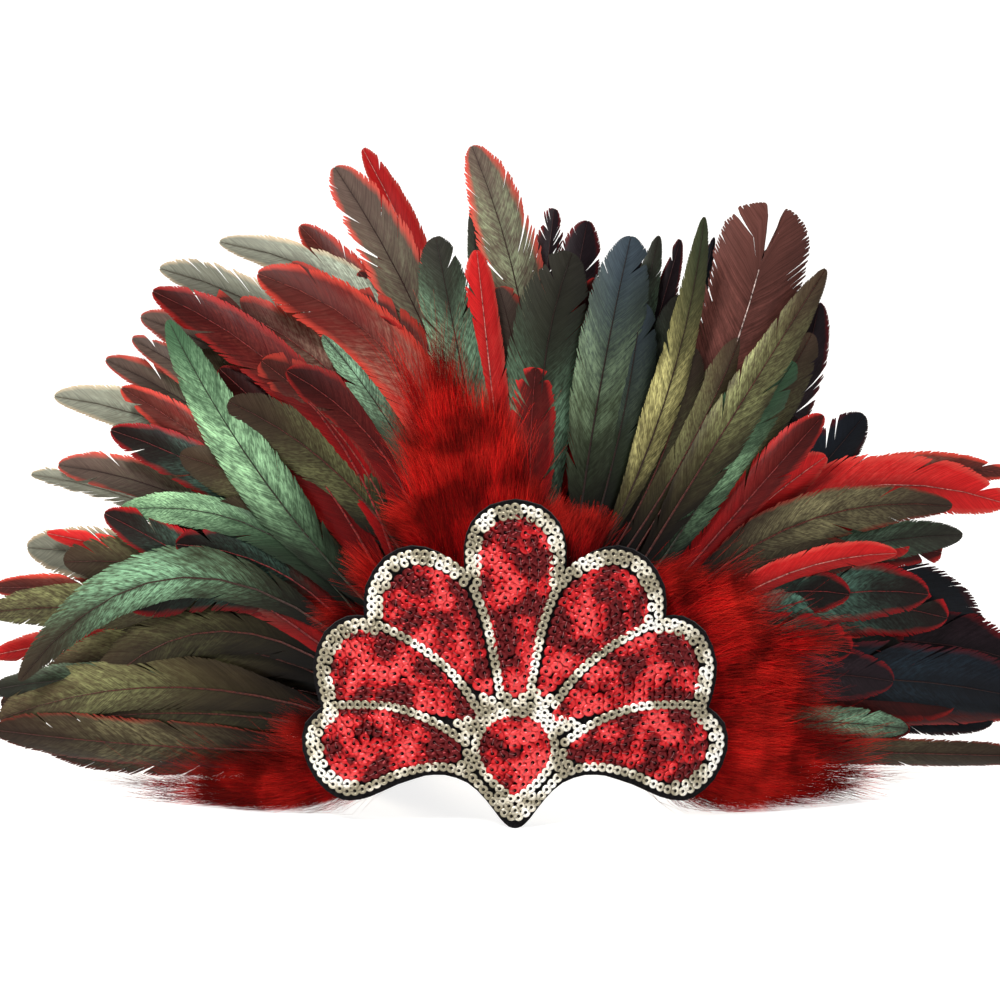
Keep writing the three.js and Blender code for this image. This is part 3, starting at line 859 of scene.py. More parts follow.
BUNCHES: dict[str, tuple[int, str, list[Feather]]] = {
    "front_feathers_upper_left": (0, "mint_feather", [
        Feather(118, -100, 222, -29, 24, CORAL, 0.25, 0.5),
        Feather(150, -135, 204, 7, 24, MINT, 0.95, 0.6, Tip.POINTED),
        Feather(140, -141, 215, -22, 20, CRIMSON, 0.25, 0.7),
        Feather(114, -75, 198, -6, 12, GREEN, 0.9, 0.8),
        Feather(130, -112, 172, -10, 22, OLIVE, 0.4, 0.5),
    ]),
    "front_feathers_upper_right": (0, "olive_feather", [
        Feather(66, 45, 236, 2, 24, STEEL, 0.5, 0.5),
        Feather(60, 73, 244, -8, 14, GOLD, 0.6, 0.45, Tip.POINTED),
        Feather(54, 88, 196, -4, 18, OLIVE, 0.35),
        Feather(44, 120, 224, 0, 20, OLIVE, 0.5, 0.6, Tip.POINTED),
        Feather(38, 109, 187, 0, 18, MINT, 0.55, 0.5),
    ]),
    "front_feathers_left": (1, "olive_feather", [
        Feather(154, -132, 150, -14, 20, OLIVE, 0.35),
        Feather(162, -156, 128, -22, 14, MINT, 0.8, 0.8),
        Feather(176, -162, 127, -4, 20, RIMMED, 0.2),
        Feather(168, -196, 61, -40, 24, MOSS, 0.72, 0.56, Tip.POINTED),
        Feather(196, -206, 43, -17, 22, OLIVE, 0.4, 0.7),
        Feather(203, -208, 40, 3, 20, BRONZE, 0.3),
    ]),
    "front_feathers_top": (1, "olive_feather", [
        Feather(100, -54, 205, -4, 18, CRIMSON, 0.2),
        Feather(96, -31, 236, 0, 22, GREEN, 0.6, 0.55),
        Feather(92, -15, 231, 0, 14, RED, 0.1),
        Feather(82, 8, 185, 2, 18, CRIMSON, 0.2),
        Feather(72, 22, 230, 10, 28, GREEN, 0.55, 0.35),
    ]),
    "front_feathers_right": (1, "bronze_feather", [
        Feather(22, 172, 130, 20, 24, BRONZE, 0.5, 0.6, Tip.POINTED),
        Feather(12, 150, 112, 12, 12, RED, 0.1),
        Feather(4, 164, 94, 15, 25, RIMMED, 0.55, 0.55),
        Feather(-6, 150, 60, 8, 22, PLUM, 0.3),
        Feather(-14, 156, 41, 3, 14, GREEN, 0.7, 0.75),
        Feather(-22, 209, 30, 0, 12, BRONZE, 0.1),
    ]),
    "middle_feathers_upper_left": (2, "crimson_feather", [
        Feather(110, -62, 214, -14, 22, CORAL, 0.2),
        Feather(126, -117, 211, -22, 24, CORAL, 0.5, 0.6),
        Feather(138, -128, 190, -12, 22, OLIVE, 0.5),
        Feather(146, -150, 196, -14, 14, TAUPE, 0.3),
    ]),
    "middle_feathers_upper_right": (2, "bronze_feather", [
        Feather(64, 56, 236, 0, 16, GREEN, 0.4, 0.6, Tip.POINTED),
        Feather(48, 100, 249, -9, 38, CHESTNUT, 0.3, 0.6, Tip.NOTCHED),
        Feather(36, 116, 198, -3, 20, OLIVE, 0.3),
        Feather(30, 120, 167, 0, 16, CRIMSON, 0.1),
        Feather(28, 122, 150, 4, 18, RED, 0.1),
    ]),
    "middle_feathers_left": (3, "bronze_feather", [
        Feather(152, -154, 177, -8, 16, CORAL, 0.2),
        Feather(160, -158, 161, -14, 20, RIMMED, 0.2),
        Feather(170, -178, 108, -14, 22, OLIVE, 0.4),
        Feather(180, -208, 88, -14, 20, OLIVE, 0.5, 0.8),
        Feather(184, -190, 55, -22, 24, OLIVE, 0.4),
        Feather(190, -209, 57, -10, 14, GREEN, 0.4),
        Feather(200, -190, 34, 4, 20, BRONZE, 0.3),
    ]),
    "middle_feathers_top": (3, "crimson_feather", [
        Feather(98, -70, 263, -9, 24, TAUPE, 0.15, 0.6, Tip.ROUND, 0.05),
        Feather(90, 0, 225, 0, 20, CRIMSON, 0.2),
        Feather(84, -17, 271, -11, 24, TAUPE, 0.45, 0.7, Tip.ROUND, 0.05),
        Feather(76, 31, 220, 2, 14, CRIMSON, 0.2),
    ]),
    "middle_feathers_right": (3, "crimson_feather", [
        Feather(30, 193, 131, 28, 24, RED, 0.2),
        Feather(14, 176, 119, 14, 17, GREEN, 0.3),
        Feather(6, 172, 84, 16, 24, RIMMED, 0.2),
        Feather(-4, 207, 52, 10, 30, NAVY, 0.3),
        Feather(-12, 209, 46, 2, 14, CRIMSON, 0.1),
        Feather(-20, 166, 30, 0, 12, PLUM, 0.2),
    ]),
    "back_feathers_upper_left": (4, "bronze_feather", [
        Feather(104, -52, 232, -8, 20, CRIMSON, 0.1),
        Feather(112, -87, 226, -14, 14, CORAL, 0.3),
        Feather(106, -115, 234, -36, 16, PALE, 0.6),
        Feather(122, -138, 224, -28, 18, PALE, 0.2, 0.6, Tip.ROUND, 0.08),
        Feather(134, -146, 205, -20, 20, TAUPE, 0.3),
        Feather(150, -160, 188, -14, 16, TAUPE, 0.3),
    ]),
    "back_feathers_upper_right": (4, "plum_feather", [
        Feather(60, 64, 235, 0, 14, PLUM, 0.3, 0.6, Tip.POINTED),
        Feather(56, 77, 236, -4, 10, NAVY, 0.3, 0.6, Tip.POINTED),
        Feather(50, 90, 228, -4, 18, BRONZE, 0.3),
        Feather(42, 108, 216, -6, 20, CHESTNUT, 0.2),
        Feather(34, 119, 210, -14, 18, PLUM, 0.3),
        Feather(26, 137, 166, -4, 24, NAVY, 0.3),
    ]),
    "back_feathers_left": (5, "bronze_feather", [
        Feather(156, -180, 174, -22, 18, PALE, 0.7),
        Feather(162, -179, 147, -16, 18, TAUPE, 0.2),
        Feather(166, -190, 143, -14, 12, PALE, 0.2, 0.6, Tip.ROUND, 0.1),
        Feather(171, -193, 113, -12, 24, PALE, 0.2),
        Feather(174, -184, 120, -8, 10, RED, 0.1),
        Feather(178, -208, 97, -12, 14, CORAL, 0.2),
        Feather(186, -208, 70, -14, 14, RED, 0.1),
        Feather(194, -205, 50, -6, 18, BRONZE, 0.2),
    ]),
    "back_feathers_top": (5, "plum_feather", [
        Feather(104, -84, 240, -12, 18, CORAL, 0.2),
        Feather(100, -59, 270, -9, 13, RED, 0.1),
        Feather(94, -17, 247, 0, 12, GREEN, 0.2, 0.6, Tip.POINTED),
        Feather(84, 15, 247, 2, 14, PLUM, 0.2, 0.6, Tip.ROUND, 0.2),
        Feather(76, 28, 242, 3, 21, PLUM, 0.5),
        Feather(70, 46, 232, 0, 18, NAVY, 0.3),
    ]),
    "back_feathers_right": (5, "plum_feather", [
        Feather(32, 194, 143, 24, 14, CORAL, 0.3),
        Feather(20, 168, 112, 16, 20, CRIMSON, 0.1),
        Feather(8, 186, 75, 30, 34, NAVY, 0.25),
        Feather(2, 200, 68, 14, 28, PLUM, 0.3),
        Feather(-10, 190, 44, 4, 20, NAVY, 0.3),
    ]),
}
TAPE_SPANS = {
    "upper_left": (102, 156), "upper_right": (22, 72), "left": (142, 208), "top": (66, 108),
    "right": (-28, 34),
}


@dataclass
class FeatherBunch:
    """One bunch of the fan: its charted feathers, shorter ones between them, and its tape."""

    name: str
    sheet: int
    slot: str
    feathers: list[Feather]
    maker: FeatherMaker
    under_reach: float = 0.84
    under_ply: float = 2.0
    # painted shade on the shorter feathers that lie behind the charted ones
    under_painted_shade: float = 0.55

    def under_feathers(self) -> list[Feather]:
        """Shorter feathers that fill the spaces between neighbours.

        Returns:
            Their lines, worked out from the charted ones.
        """
        made = []
        for i, (one, two) in enumerate(zip(self.feathers, self.feathers[1:])):
            angles = [math.atan2(f.tip_z - FAN.arch_height, f.tip_x) for f in (one, two)]
            reaches = [math.hypot(f.tip_x, f.tip_z - FAN.arch_height) for f in (one, two)]
            angles = [a + 2 * math.pi if a < -math.pi / 2 else a for a in angles]
            angle, reach = sum(angles) / 2, sum(reaches) / 2 * self.under_reach
            tip_x, tip_z = reach * math.cos(angle), FAN.arch_height + reach * math.sin(angle)
            kind = (one.plumage, two.plumage)[i % 2]
            bend, width = (one.bend + two.bend) / 2, min(22.0, (one.width + two.width) / 2 + 2)
            made.append(Feather((one.root + two.root) / 2, tip_x, tip_z, bend, width, kind, 0.2))
        return made

    def build(self) -> None:
        """Builds the bunch as one piece that stands for its CAD node."""
        piece = Assembly(f"{self.name}_plumage", self.slot, [self.name])
        for feather in self.under_feathers():
            self.place(piece, feather, self.under_ply, self.under_painted_shade)
        for i, feather in enumerate(self.feathers):
            self.place(piece, feather, 1.0 if i % 2 == 0 else -1.0)
        self.tape(piece)
        piece.finish()

    def place(self, piece: Assembly, feather: Feather, ply: float, painted_behind_shade: float = 1.0) -> None:
        """Puts one feather in its ply of the sheet.

        Args:
            piece: the piece.
            feather: its line of the chart.
            ply: how far before or behind the middle of the sheet, in plies.
            painted_behind_shade: painted shade for a feather that lies behind others, multiplied into its
                colour.
        """
        start = FAN.arch_point(feather.root, FAN.rim - FAN.root_depth)
        end = FAN.place_of(feather.tip_x, feather.tip_z, self.sheet)
        quill = Quill(start, end, feather.bend)
        self.maker.vane(piece, feather, quill, lambda x, z: FAN.sheet_depth(x, z, self.sheet, ply), painted_behind_shade)

    def tape(self, piece: Assembly) -> None:
        """Adds the stretch of tape that holds the quills."""
        low, high = TAPE_SPANS[self.name.split("_feathers_")[1]]
        tape_strip(piece, low, high, FAN.tape_thickness, lambda x, z: FAN.sheet_depth(x, z, self.sheet, 0))


def tape_strip(piece: Assembly, low: float, high: float, thickness: float, depth_of: DepthAt) -> None:
    """Adds a curved strip of woven tape along the arch.

    Args:
        piece: the piece.
        low: the angle where it begins, in degrees.
        high: the angle where it ends.
        thickness: how thick it is.
        depth_of: the depth of its middle at places across and up.
    """
    bm = bmesh.new()
    bm.loops.layers.uv.new(UV_MAP)
    bmesh.ops.create_grid(bm, x_segments=24, y_segments=3, size=0.5)
    bmesh.ops.solidify(bm, geom=bm.faces[:], thickness=1.0)
    co = np.array([vert.co for vert in bm.verts])
    mesh = mesh_of(bm, "tape")
    angle = np.radians(low + (high - low) * (co[:, 0] + 0.5))
    radius = FAN.arch_radius + FAN.tape_width * co[:, 1]
    x, z = radius * np.cos(angle), FAN.arch_height + radius * np.sin(angle)
    level = co[:, 2] - (co[:, 2].min() + co[:, 2].max()) / 2
    points = np.stack([x, depth_of(x, z) + level * thickness, z], axis=1)
    piece.add(mesh, points, tape_material())
    bpy.data.meshes.remove(mesh)


@cache
def tape_material() -> bpy.types.Material:
    """The finish of the tapes: black woven cotton.

    Returns:
        The material.
    """
    s = Shader("black_tape")
    weave = s.node("TexWave", wave_type="BANDS", bands_direction="DIAGONAL")
    s.feed(weave.inputs["Vector"], s.coords())
    s.feed(weave.inputs["Scale"], 700.0)
    s.feed(weave.inputs["Distortion"], 1.5)
    s.set(Base_Color=s.mix(weave.outputs["Fac"], linear("0c0b0c"), linear("242124")), Roughness=0.9)
    s.bump(weave.outputs["Fac"], 0.5, 0.3 * MM)
    return s.material


# Down


@dataclass(frozen=True)
class Lock:
    """One lock of down, in a feather's first columns.

    After them come how many wisps it has and how far they reach.
    """

    root: float
    tip_x: float
    tip_z: float
    bend: float
    width: float
    wisps: int = 8
    reach: float = 1.0


DOWN_BUNCHES = {
    "down_left": ((146, 208), [
        Lock(150, -76, 124, -6, 12, 2, 0.6), Lock(160, -88, 104, -6, 12, 2, 0.5),
        Lock(190, -98, 38, 2, 13, 2, 0.7), Lock(196, -100, 34, 3, 9, 3, 0.8), Lock(200, -128, 22, 4, 8, 4),
        Lock(205, -150, 19, 6, 7, 7), Lock(206, -112, 18, 4, 8, 8), Lock(208, -134, 13, 4, 7, 8),
    ]),
    "down_top": ((60, 128), [
        Lock(122, -60, 154, -6, 13, 4, 0.8), Lock(114, -46, 182, -4, 14, 7), Lock(106, -32, 192, 0, 13, 8),
        Lock(99, -20, 182, 2, 13, 8), Lock(91, -6, 170, 2, 12, 6, 0.9), Lock(82, 8, 158, 0, 12, 3, 0.7),
        Lock(74, 22, 152, 2, 12, 4, 0.6), Lock(66, 34, 146, 2, 11, 4, 0.6),
    ]),
    "down_right": ((-28, 40), [
        Lock(36, 84, 118, 4, 12, 3, 0.7), Lock(27, 102, 102, 4, 13, 4, 0.8), Lock(16, 116, 86, 6, 14, 6, 0.9),
        Lock(5, 120, 66, 4, 14), Lock(-6, 122, 48, 0, 14), Lock(-15, 124, 34, -2, 13),
        Lock(-22, 116, 24, -4, 12), Lock(-19, 152, 30, -2, 12, 5), Lock(-25, 136, 17, -2, 11),
        Lock(-26, 108, 14, -2, 11),
    ]),
}


@dataclass
class DownBunch:
    """One bunch of down: locks of loose strands on a tape."""

    name: str
    span: tuple[float, float]
    locks: list[Lock]
    random: np.random.Generator
    back: float = 5.2
    behind_patch: float = 2.6
    outside: float = 6.5
    rim: float = 90.0
    swell: float = 25.0
    strand: float = 0.17
    tape_share: float = 0.8
    wisp_spread: float = 0.45
    wisp_reach: tuple[float, float] = (0.6, 1.12)
    strand_lengths: tuple[float, float] = (18.0, 58.0)
    strand_angle: float = 0.17
    strand_spread: float = 0.22
    last_root: float = 0.87
    root_back: float = 0.07
    wave: float = 0.7
    drift: float = 0.35

    def layer(self, x: Array, z: Array) -> tuple[Array, Array]:
        """The front and the back of the down.

        Args:
            x: places across.
            z: places up.

        Returns:
            The depth of its front and of its back at each.
        """
        distance = np.hypot(x, z - FAN.arch_height)
        share = np.clip((distance - self.rim) / self.swell, 0, 1)
        back = FAN.depth(x, z) + self.back
        return back - (self.behind_patch + (self.outside - self.behind_patch) * share), back

    def build(self) -> None:
        """Builds the bunch as one piece that stands for its CAD node."""
        piece = Assembly(f"{self.name}_fluff", "red_down", [self.name])
        for lock in self.locks:
            start = FAN.arch_point(lock.root, FAN.rim - FAN.root_depth)
            end = FAN.place_of(lock.tip_x, lock.tip_z, -1.0)
            for _ in range(lock.wisps):
                aim = np.array(end) + self.random.normal(0, self.wisp_spread, 2) * lock.width
                way = (aim - np.array(start)) * self.random.uniform(*self.wisp_reach)
                aim = np.array(start) + way * lock.reach
                aim[1] = max(aim[1], 2.0)
                foot = FAN.arch_point(lock.root + self.random.normal(0, 3.0), FAN.rim - FAN.root_depth)
                bend = lock.bend + self.random.normal(0, 2.0)
                self.strands(piece, Quill(foot, tuple(aim), bend), lock.width)
        middle = self.back - self.behind_patch / 2
        thickness = self.behind_patch * self.tape_share
        tape_strip(piece, *self.span, thickness, lambda x, z: FAN.depth(x, z) + middle)
        piece.finish()

    def strands(self, piece: Assembly, quill: Quill, width: float) -> None:
        """Adds one wisp of strands along a line.

        Args:
            piece: the piece.
            quill: the line that they follow.
            width: how wide the wisp is.
        """
        rng, count = self.random, DOWN.strips
        strip, out = DOWN.strip, DOWN.out
        root = self.last_root * rng.uniform(0, 1, count) ** 1.25 - self.root_back
        angle = rng.normal(0, self.strand_angle, count)
        length = rng.uniform(*self.strand_lengths, count) * (1 - 0.5 * np.abs(root) ** 2)
        start = rng.normal(0, self.strand_spread, count) * width * (1 - 0.4 * root)
        wave, phase = rng.normal(0, self.wave, count), rng.uniform(0, 6, count)
        deep, drift = rng.uniform(0.0, 1.0, count), rng.normal(0, self.drift, count)
        # painted shade: strands that lie deeper in the down are painted darker, times a random tone
        painted_light_and_tone = (1.15 - 0.5 * deep) * rng.uniform(0.55, 1.45, count)
        room = (rng.uniform(0.92, 1.15, count) - root) * quill.length
        run = np.minimum(length, room)[strip] * out
        t = root[strip] + run * np.cos(angle[strip]) / quill.length
        lateral = start[strip] + run * np.sin(angle[strip]) * out ** 0.4
        lateral += wave[strip] * np.sin(out * 4 + phase[strip]) * out
        thick = self.strand * (1 - 0.8 * out) * DOWN.edge / 2
        flat = quill.at(t) + quill.side(t) * (lateral + thick)[:, None]
        flat[:, 1] = np.maximum(flat[:, 1], 0.8 + 0.6 * deep[strip])
        front, back = self.layer(flat[:, 0], flat[:, 1])
        depth = front + (back - front) * np.clip(deep[strip] + drift[strip] * out, 0, 1)
        points = np.stack([flat[:, 0], depth + 0.5 * thick, flat[:, 1]], axis=1)
        uv = np.stack([out, deep[strip]], axis=1)
        piece.add(DOWN.mesh, points, down_material(), uv, seed=rng.uniform(), shade=painted_light_and_tone[strip])


@cache
def down_material() -> bpy.types.Material:
    """The finish of the down: dyed red fluff, paler towards the ends of its strands, with painted shade
    in noise hollows and on its deeper strands.

    Returns:
        The material.
    """
    s = Shader("red_fluff")
    split = s.node("SeparateXYZ")
    s.feed(split.inputs[0], s.node("UVMap", uv_map=UV_MAP).outputs[0])
    out, deep = split.outputs[0], split.outputs[1]
    fleck = s.noise(s.place(out, s.maths("MULTIPLY", deep, 90.0), 0.0), 1.0)
    colour = s.mix(s.span(fleck, 0.35, 0.65), linear("380204"), linear("b0080a"))
    colour = s.mix(s.span(out, 0.4, 1.0, 0.0, 0.5), colour, linear("e03224"))
    # painted shade: noise darkens the hollows between the clumps
    painted_hollow_shade = s.span(s.noise(s.coords(), 55.0), 0.38, 0.62, 0.36, 1.2)
    wisp = s.maths("MULTIPLY", painted_hollow_shade, s.span(s.attribute("seed"), 0, 1, 0.6, 1.35))
    value = s.maths("MULTIPLY", s.attribute("shade"), wisp)
    s.set(Base_Color=s.shaded(colour, value), Roughness=0.6, Specular_IOR_Level=0.04)
    return s.material


# The sequinned patch


@dataclass(frozen=True)
class SequinFinish:
    """The finish of one kind of sequin."""

    name: str
    face: str
    # dark: painted shade on the foil; the glint colour is a painted glint
    dark: str
    painted_glint: str
    roughness: float
    metal: float
    hole: float
    thread: str

    @cache
    def material(self) -> bpy.types.Material:
        """A foil whose colour runs, by noise and a little from sequin to sequin, from painted shade through
        its face colour to painted glints.

        Returns:
            The material.
        """
        s = Shader(self.name)
        coords = s.coords()
        drift = s.maths("MULTIPLY", s.noise(coords, 85.0, 1.0), 1.7)
        # painted shade and painted glints: noise and the sequin's seed pick the dark, face or glint colour
        painted_light_and_tone = s.maths("ADD", drift, s.maths("MULTIPLY", s.attribute("seed"), 0.2))
        colour = s.mix(s.span(painted_light_and_tone, 0.86, 1.0), linear(self.dark), linear(self.face))
        colour = s.mix(s.span(painted_light_and_tone, 1.02, 1.2), colour, linear(self.painted_glint))
        scuff = s.noise(coords, 1600.0)
        rough = s.span(scuff, 0.3, 0.7, self.roughness, self.roughness + 0.14)
        s.set(Base_Color=colour, Roughness=rough, Metallic=self.metal)
        s.bump(scuff, 0.15, 0.1 * MM)
        return s.material


# each foil's face colour, painted shade colour and painted glint colour
SILVER = SequinFinish("silver_foil", "eee6d2", "9c937c", "fffdf6", 0.25, 0.4, 0.68, "6f675c")
SCARLET = SequinFinish("red_foil", "c6141b", "600006", "f0484a", 0.28, 0.6, 0.7, "b87474")


@dataclass
class SequinMaker:
    """Lays sequins and their stitches on the patch."""

    random: np.random.Generator
    thickness: float = 0.16
    cup: float = 0.2
    sides: int = 12

    def disc(self, radius: float, hole: float) -> bpy.types.Mesh:
        """A small cupped ring of foil.

        Args:
            radius: its outer radius in millimetres.
            hole: the radius of its hole.

        Returns:
            Its mesh, flat in the XY plane.
        """
        bm = bmesh.new()
        for size in (radius, hole):
            bmesh.ops.create_circle(bm, segments=self.sides, radius=size)
        bmesh.ops.bridge_loops(bm, edges=bm.edges[:])
        bmesh.ops.solidify(bm, geom=bm.faces[:], thickness=self.thickness)
        for vert in bm.verts:
            vert.co.z += self.cup * (vert.co.xy.length - hole) / radius
        bmesh.ops.recalc_face_normals(bm, faces=bm.faces[:])
        return mesh_of(bm, "sequin", LAYERS)

    def stitch(self) -> bpy.types.Mesh:
        """A short thread, straight until it is laid."""
        return mesh_of(prism(4, 3), "stitch")


def spline(points: Sequence[tuple[float, float]], steps: int, closed: bool = False) -> Array:
    """A smooth line through points.

    Args:
        points: places across and up.
        steps: how many stretches it has between two of them.
        closed: whether it runs back to its start.

    Returns:
        The places along it.
    """
    ring = [Vector((x, z, 0)) for x, z in points]
    if closed:
        padded = [ring[-1], *ring, ring[0], ring[1]]
    else:
        padded = [2 * ring[0] - ring[1], *ring, 2 * ring[-1] - ring[-2]]
    made = []
    for a, b, c, d in zip(padded, padded[1:], padded[2:], padded[3:]):
        for k in range(steps):
            t = k / steps
            made.append(0.5 * ((2 * b) + (c - a) * t + (2 * a - 5 * b + 4 * c - d) * t * t
                               + (3 * b - a - 3 * c + d) * t ** 3))
    if not closed:
        made.append(ring[-1])
    return np.array([(p.x, p.y) for p in made])


def mirrored(points: Array) -> Array:
    """The same line on the other side, run the other way."""
    return points[::-1] * np.array([-1, 1])


LOOK_AHEAD = 0.4  # how far before and after a place its direction is read


def even(points: Array, pitch: float, closed: bool) -> tuple[Array, Array]:
    """Evenly spaced places along a line, and its direction there.

    Args:
        points: the line.
        pitch: the space wanted between two places.
        closed: whether the line runs back to its start.

    Returns:
        The places and the unit directions.
    """
    line = np.vstack([points, points[:1]]) if closed else points
    steps = np.hypot(*np.diff(line, axis=0).T)
    run = np.concatenate([[0], np.cumsum(steps)])
    count = max(2, round(run[-1] / pitch))
    at = np.linspace(0, run[-1], count + 1)[: count if closed else count + 1]

    def on_line(where: Array) -> Array:
        """Places on the line at distances along it."""
        return np.stack([np.interp(where, run, line[:, i]) for i in (0, 1)], axis=1)

    way = on_line(np.minimum(at + LOOK_AHEAD, run[-1])) - on_line(np.maximum(at - LOOK_AHEAD, 0))
    return on_line(at), way / np.maximum(np.hypot(way[:, 0], way[:, 1]), TINY)[:, None]


def inset(points: Array, by: float) -> Array:
    """Moves a closed outline inwards.

    Args:
        points: the outline.
        by: how far, outwards where it is negative.

    Returns:
        The moved outline.
    """
    following = np.roll(points, -1, axis=0)
    area = float(np.sum(points[:, 0] * following[:, 1] - following[:, 0] * points[:, 1]))
    way = following - points
    way /= np.maximum(np.hypot(way[:, 0], way[:, 1]), TINY)[:, None]
    normal = np.stack([-way[:, 1], way[:, 0]], axis=1) * math.copysign(1.0, area)
    both = normal + np.roll(normal, 1, axis=0)
    both /= np.maximum(1 + np.sum(normal * np.roll(normal, 1, axis=0), axis=1), 0.4)[:, None]
    return points + both * by


def distance_inside(places: Array, outline: Array) -> Array:
    """How far places lie inside a closed outline.

    Args:
        places: the places.
        outline: the outline.

    Returns:
        A distance for each, less than 0 outside.
    """
    a, b = outline, np.roll(outline, -1, axis=0)
    way = b - a
    length = np.maximum(np.sum(way * way, axis=1), 1e-9)
    offset = places[:, None, :] - a[None]
    share = np.clip(np.sum(offset * way[None], axis=2) / length[None], 0, 1)
    near = offset - share[..., None] * way[None]
    distance = np.hypot(near[..., 0], near[..., 1]).min(axis=1)
    x, z = places[:, None, 0], places[:, None, 1]
    crossing = (a[None, :, 1] > z) != (b[None, :, 1] > z)
    rise = np.where(way[:, 1] == 0, 1e-9, way[:, 1])
    at = a[None, :, 0] + (z - a[None, :, 1]) * way[None, :, 0] / rise[None]
    inside = np.sum(crossing & (x < at), axis=1) % 2 == 1
    return np.where(inside, distance, -distance)


SILVER_RUNS = [
    [(0, 131), (9.5, 128.6), (16.2, 122), (18.7, 113.5), (18.3, 103)],
    [(18.3, 103), (28, 110), (40, 112), (50.5, 107.3), (57.2, 96), (57.8, 84)],
    [(57.8, 84), (65.5, 82.8), (73.8, 76.8), (78.4, 65), (77, 53.5), (75.3, 46.6)],
    [(75.3, 46.6), (81.8, 39), (82.8, 30), (78, 19.5), (71, 13.9), (66, 12.7), (58, 15), (47, 20.6),
     (36, 23.9)],
    [(36, 23.9), (28.5, 24.3), (22.5, 22.8), (17.5, 20.2), (11.5, 13.5), (5.5, 6.6), (0, 3.6)],
]
CENTRE_RUN = [(0, 126), (8.5, 122.5), (13.4, 112), (13.3, 98), (9.8, 85), (6.3, 69), (3.6, 56.5), (0, 55)]
DROP_RUN = [(0, 46), (8, 43.8), (13.4, 36.5), (13.2, 28.5), (7.5, 20.4), (0, 14.2)]
SIDE_PETALS = [
    [(10.2, 55), (12.2, 69), (15.4, 84), (22, 98), (37, 105.6), (49, 98), (51.3, 84.6), (36.5, 75.6),
     (24.5, 66)],
    [(17, 45.2), (20.5, 52), (28, 61.5), (39, 70.8), (53, 77.9), (66, 77), (72.2, 64.5), (70, 52.2),
     (52, 51.3)],
    [(21.2, 29.5), (30, 39.3), (42, 44.8), (54, 47), (69, 46.2), (76.2, 34), (71.5, 21), (60, 18.8),
     (46, 25)],
]
DIVIDERS = [
    [(5.8, 54.8), (8.1, 68.8), (11.6, 85.2), (17.5, 100.5)],
    [(15.1, 47.7), (17.5, 53.5), (25.7, 64.1), (37.4, 73.5), (51.5, 81.1), (57, 82)],
    [(19.8, 35.4), (29.2, 41.8), (41, 47.1), (52.7, 49.4), (70.3, 48.8), (74.5, 46.8)],
    [(19.8, 23.6), (32.7, 25.4), (46.8, 23.6), (58.6, 17.2), (66.8, 14.2)],
]


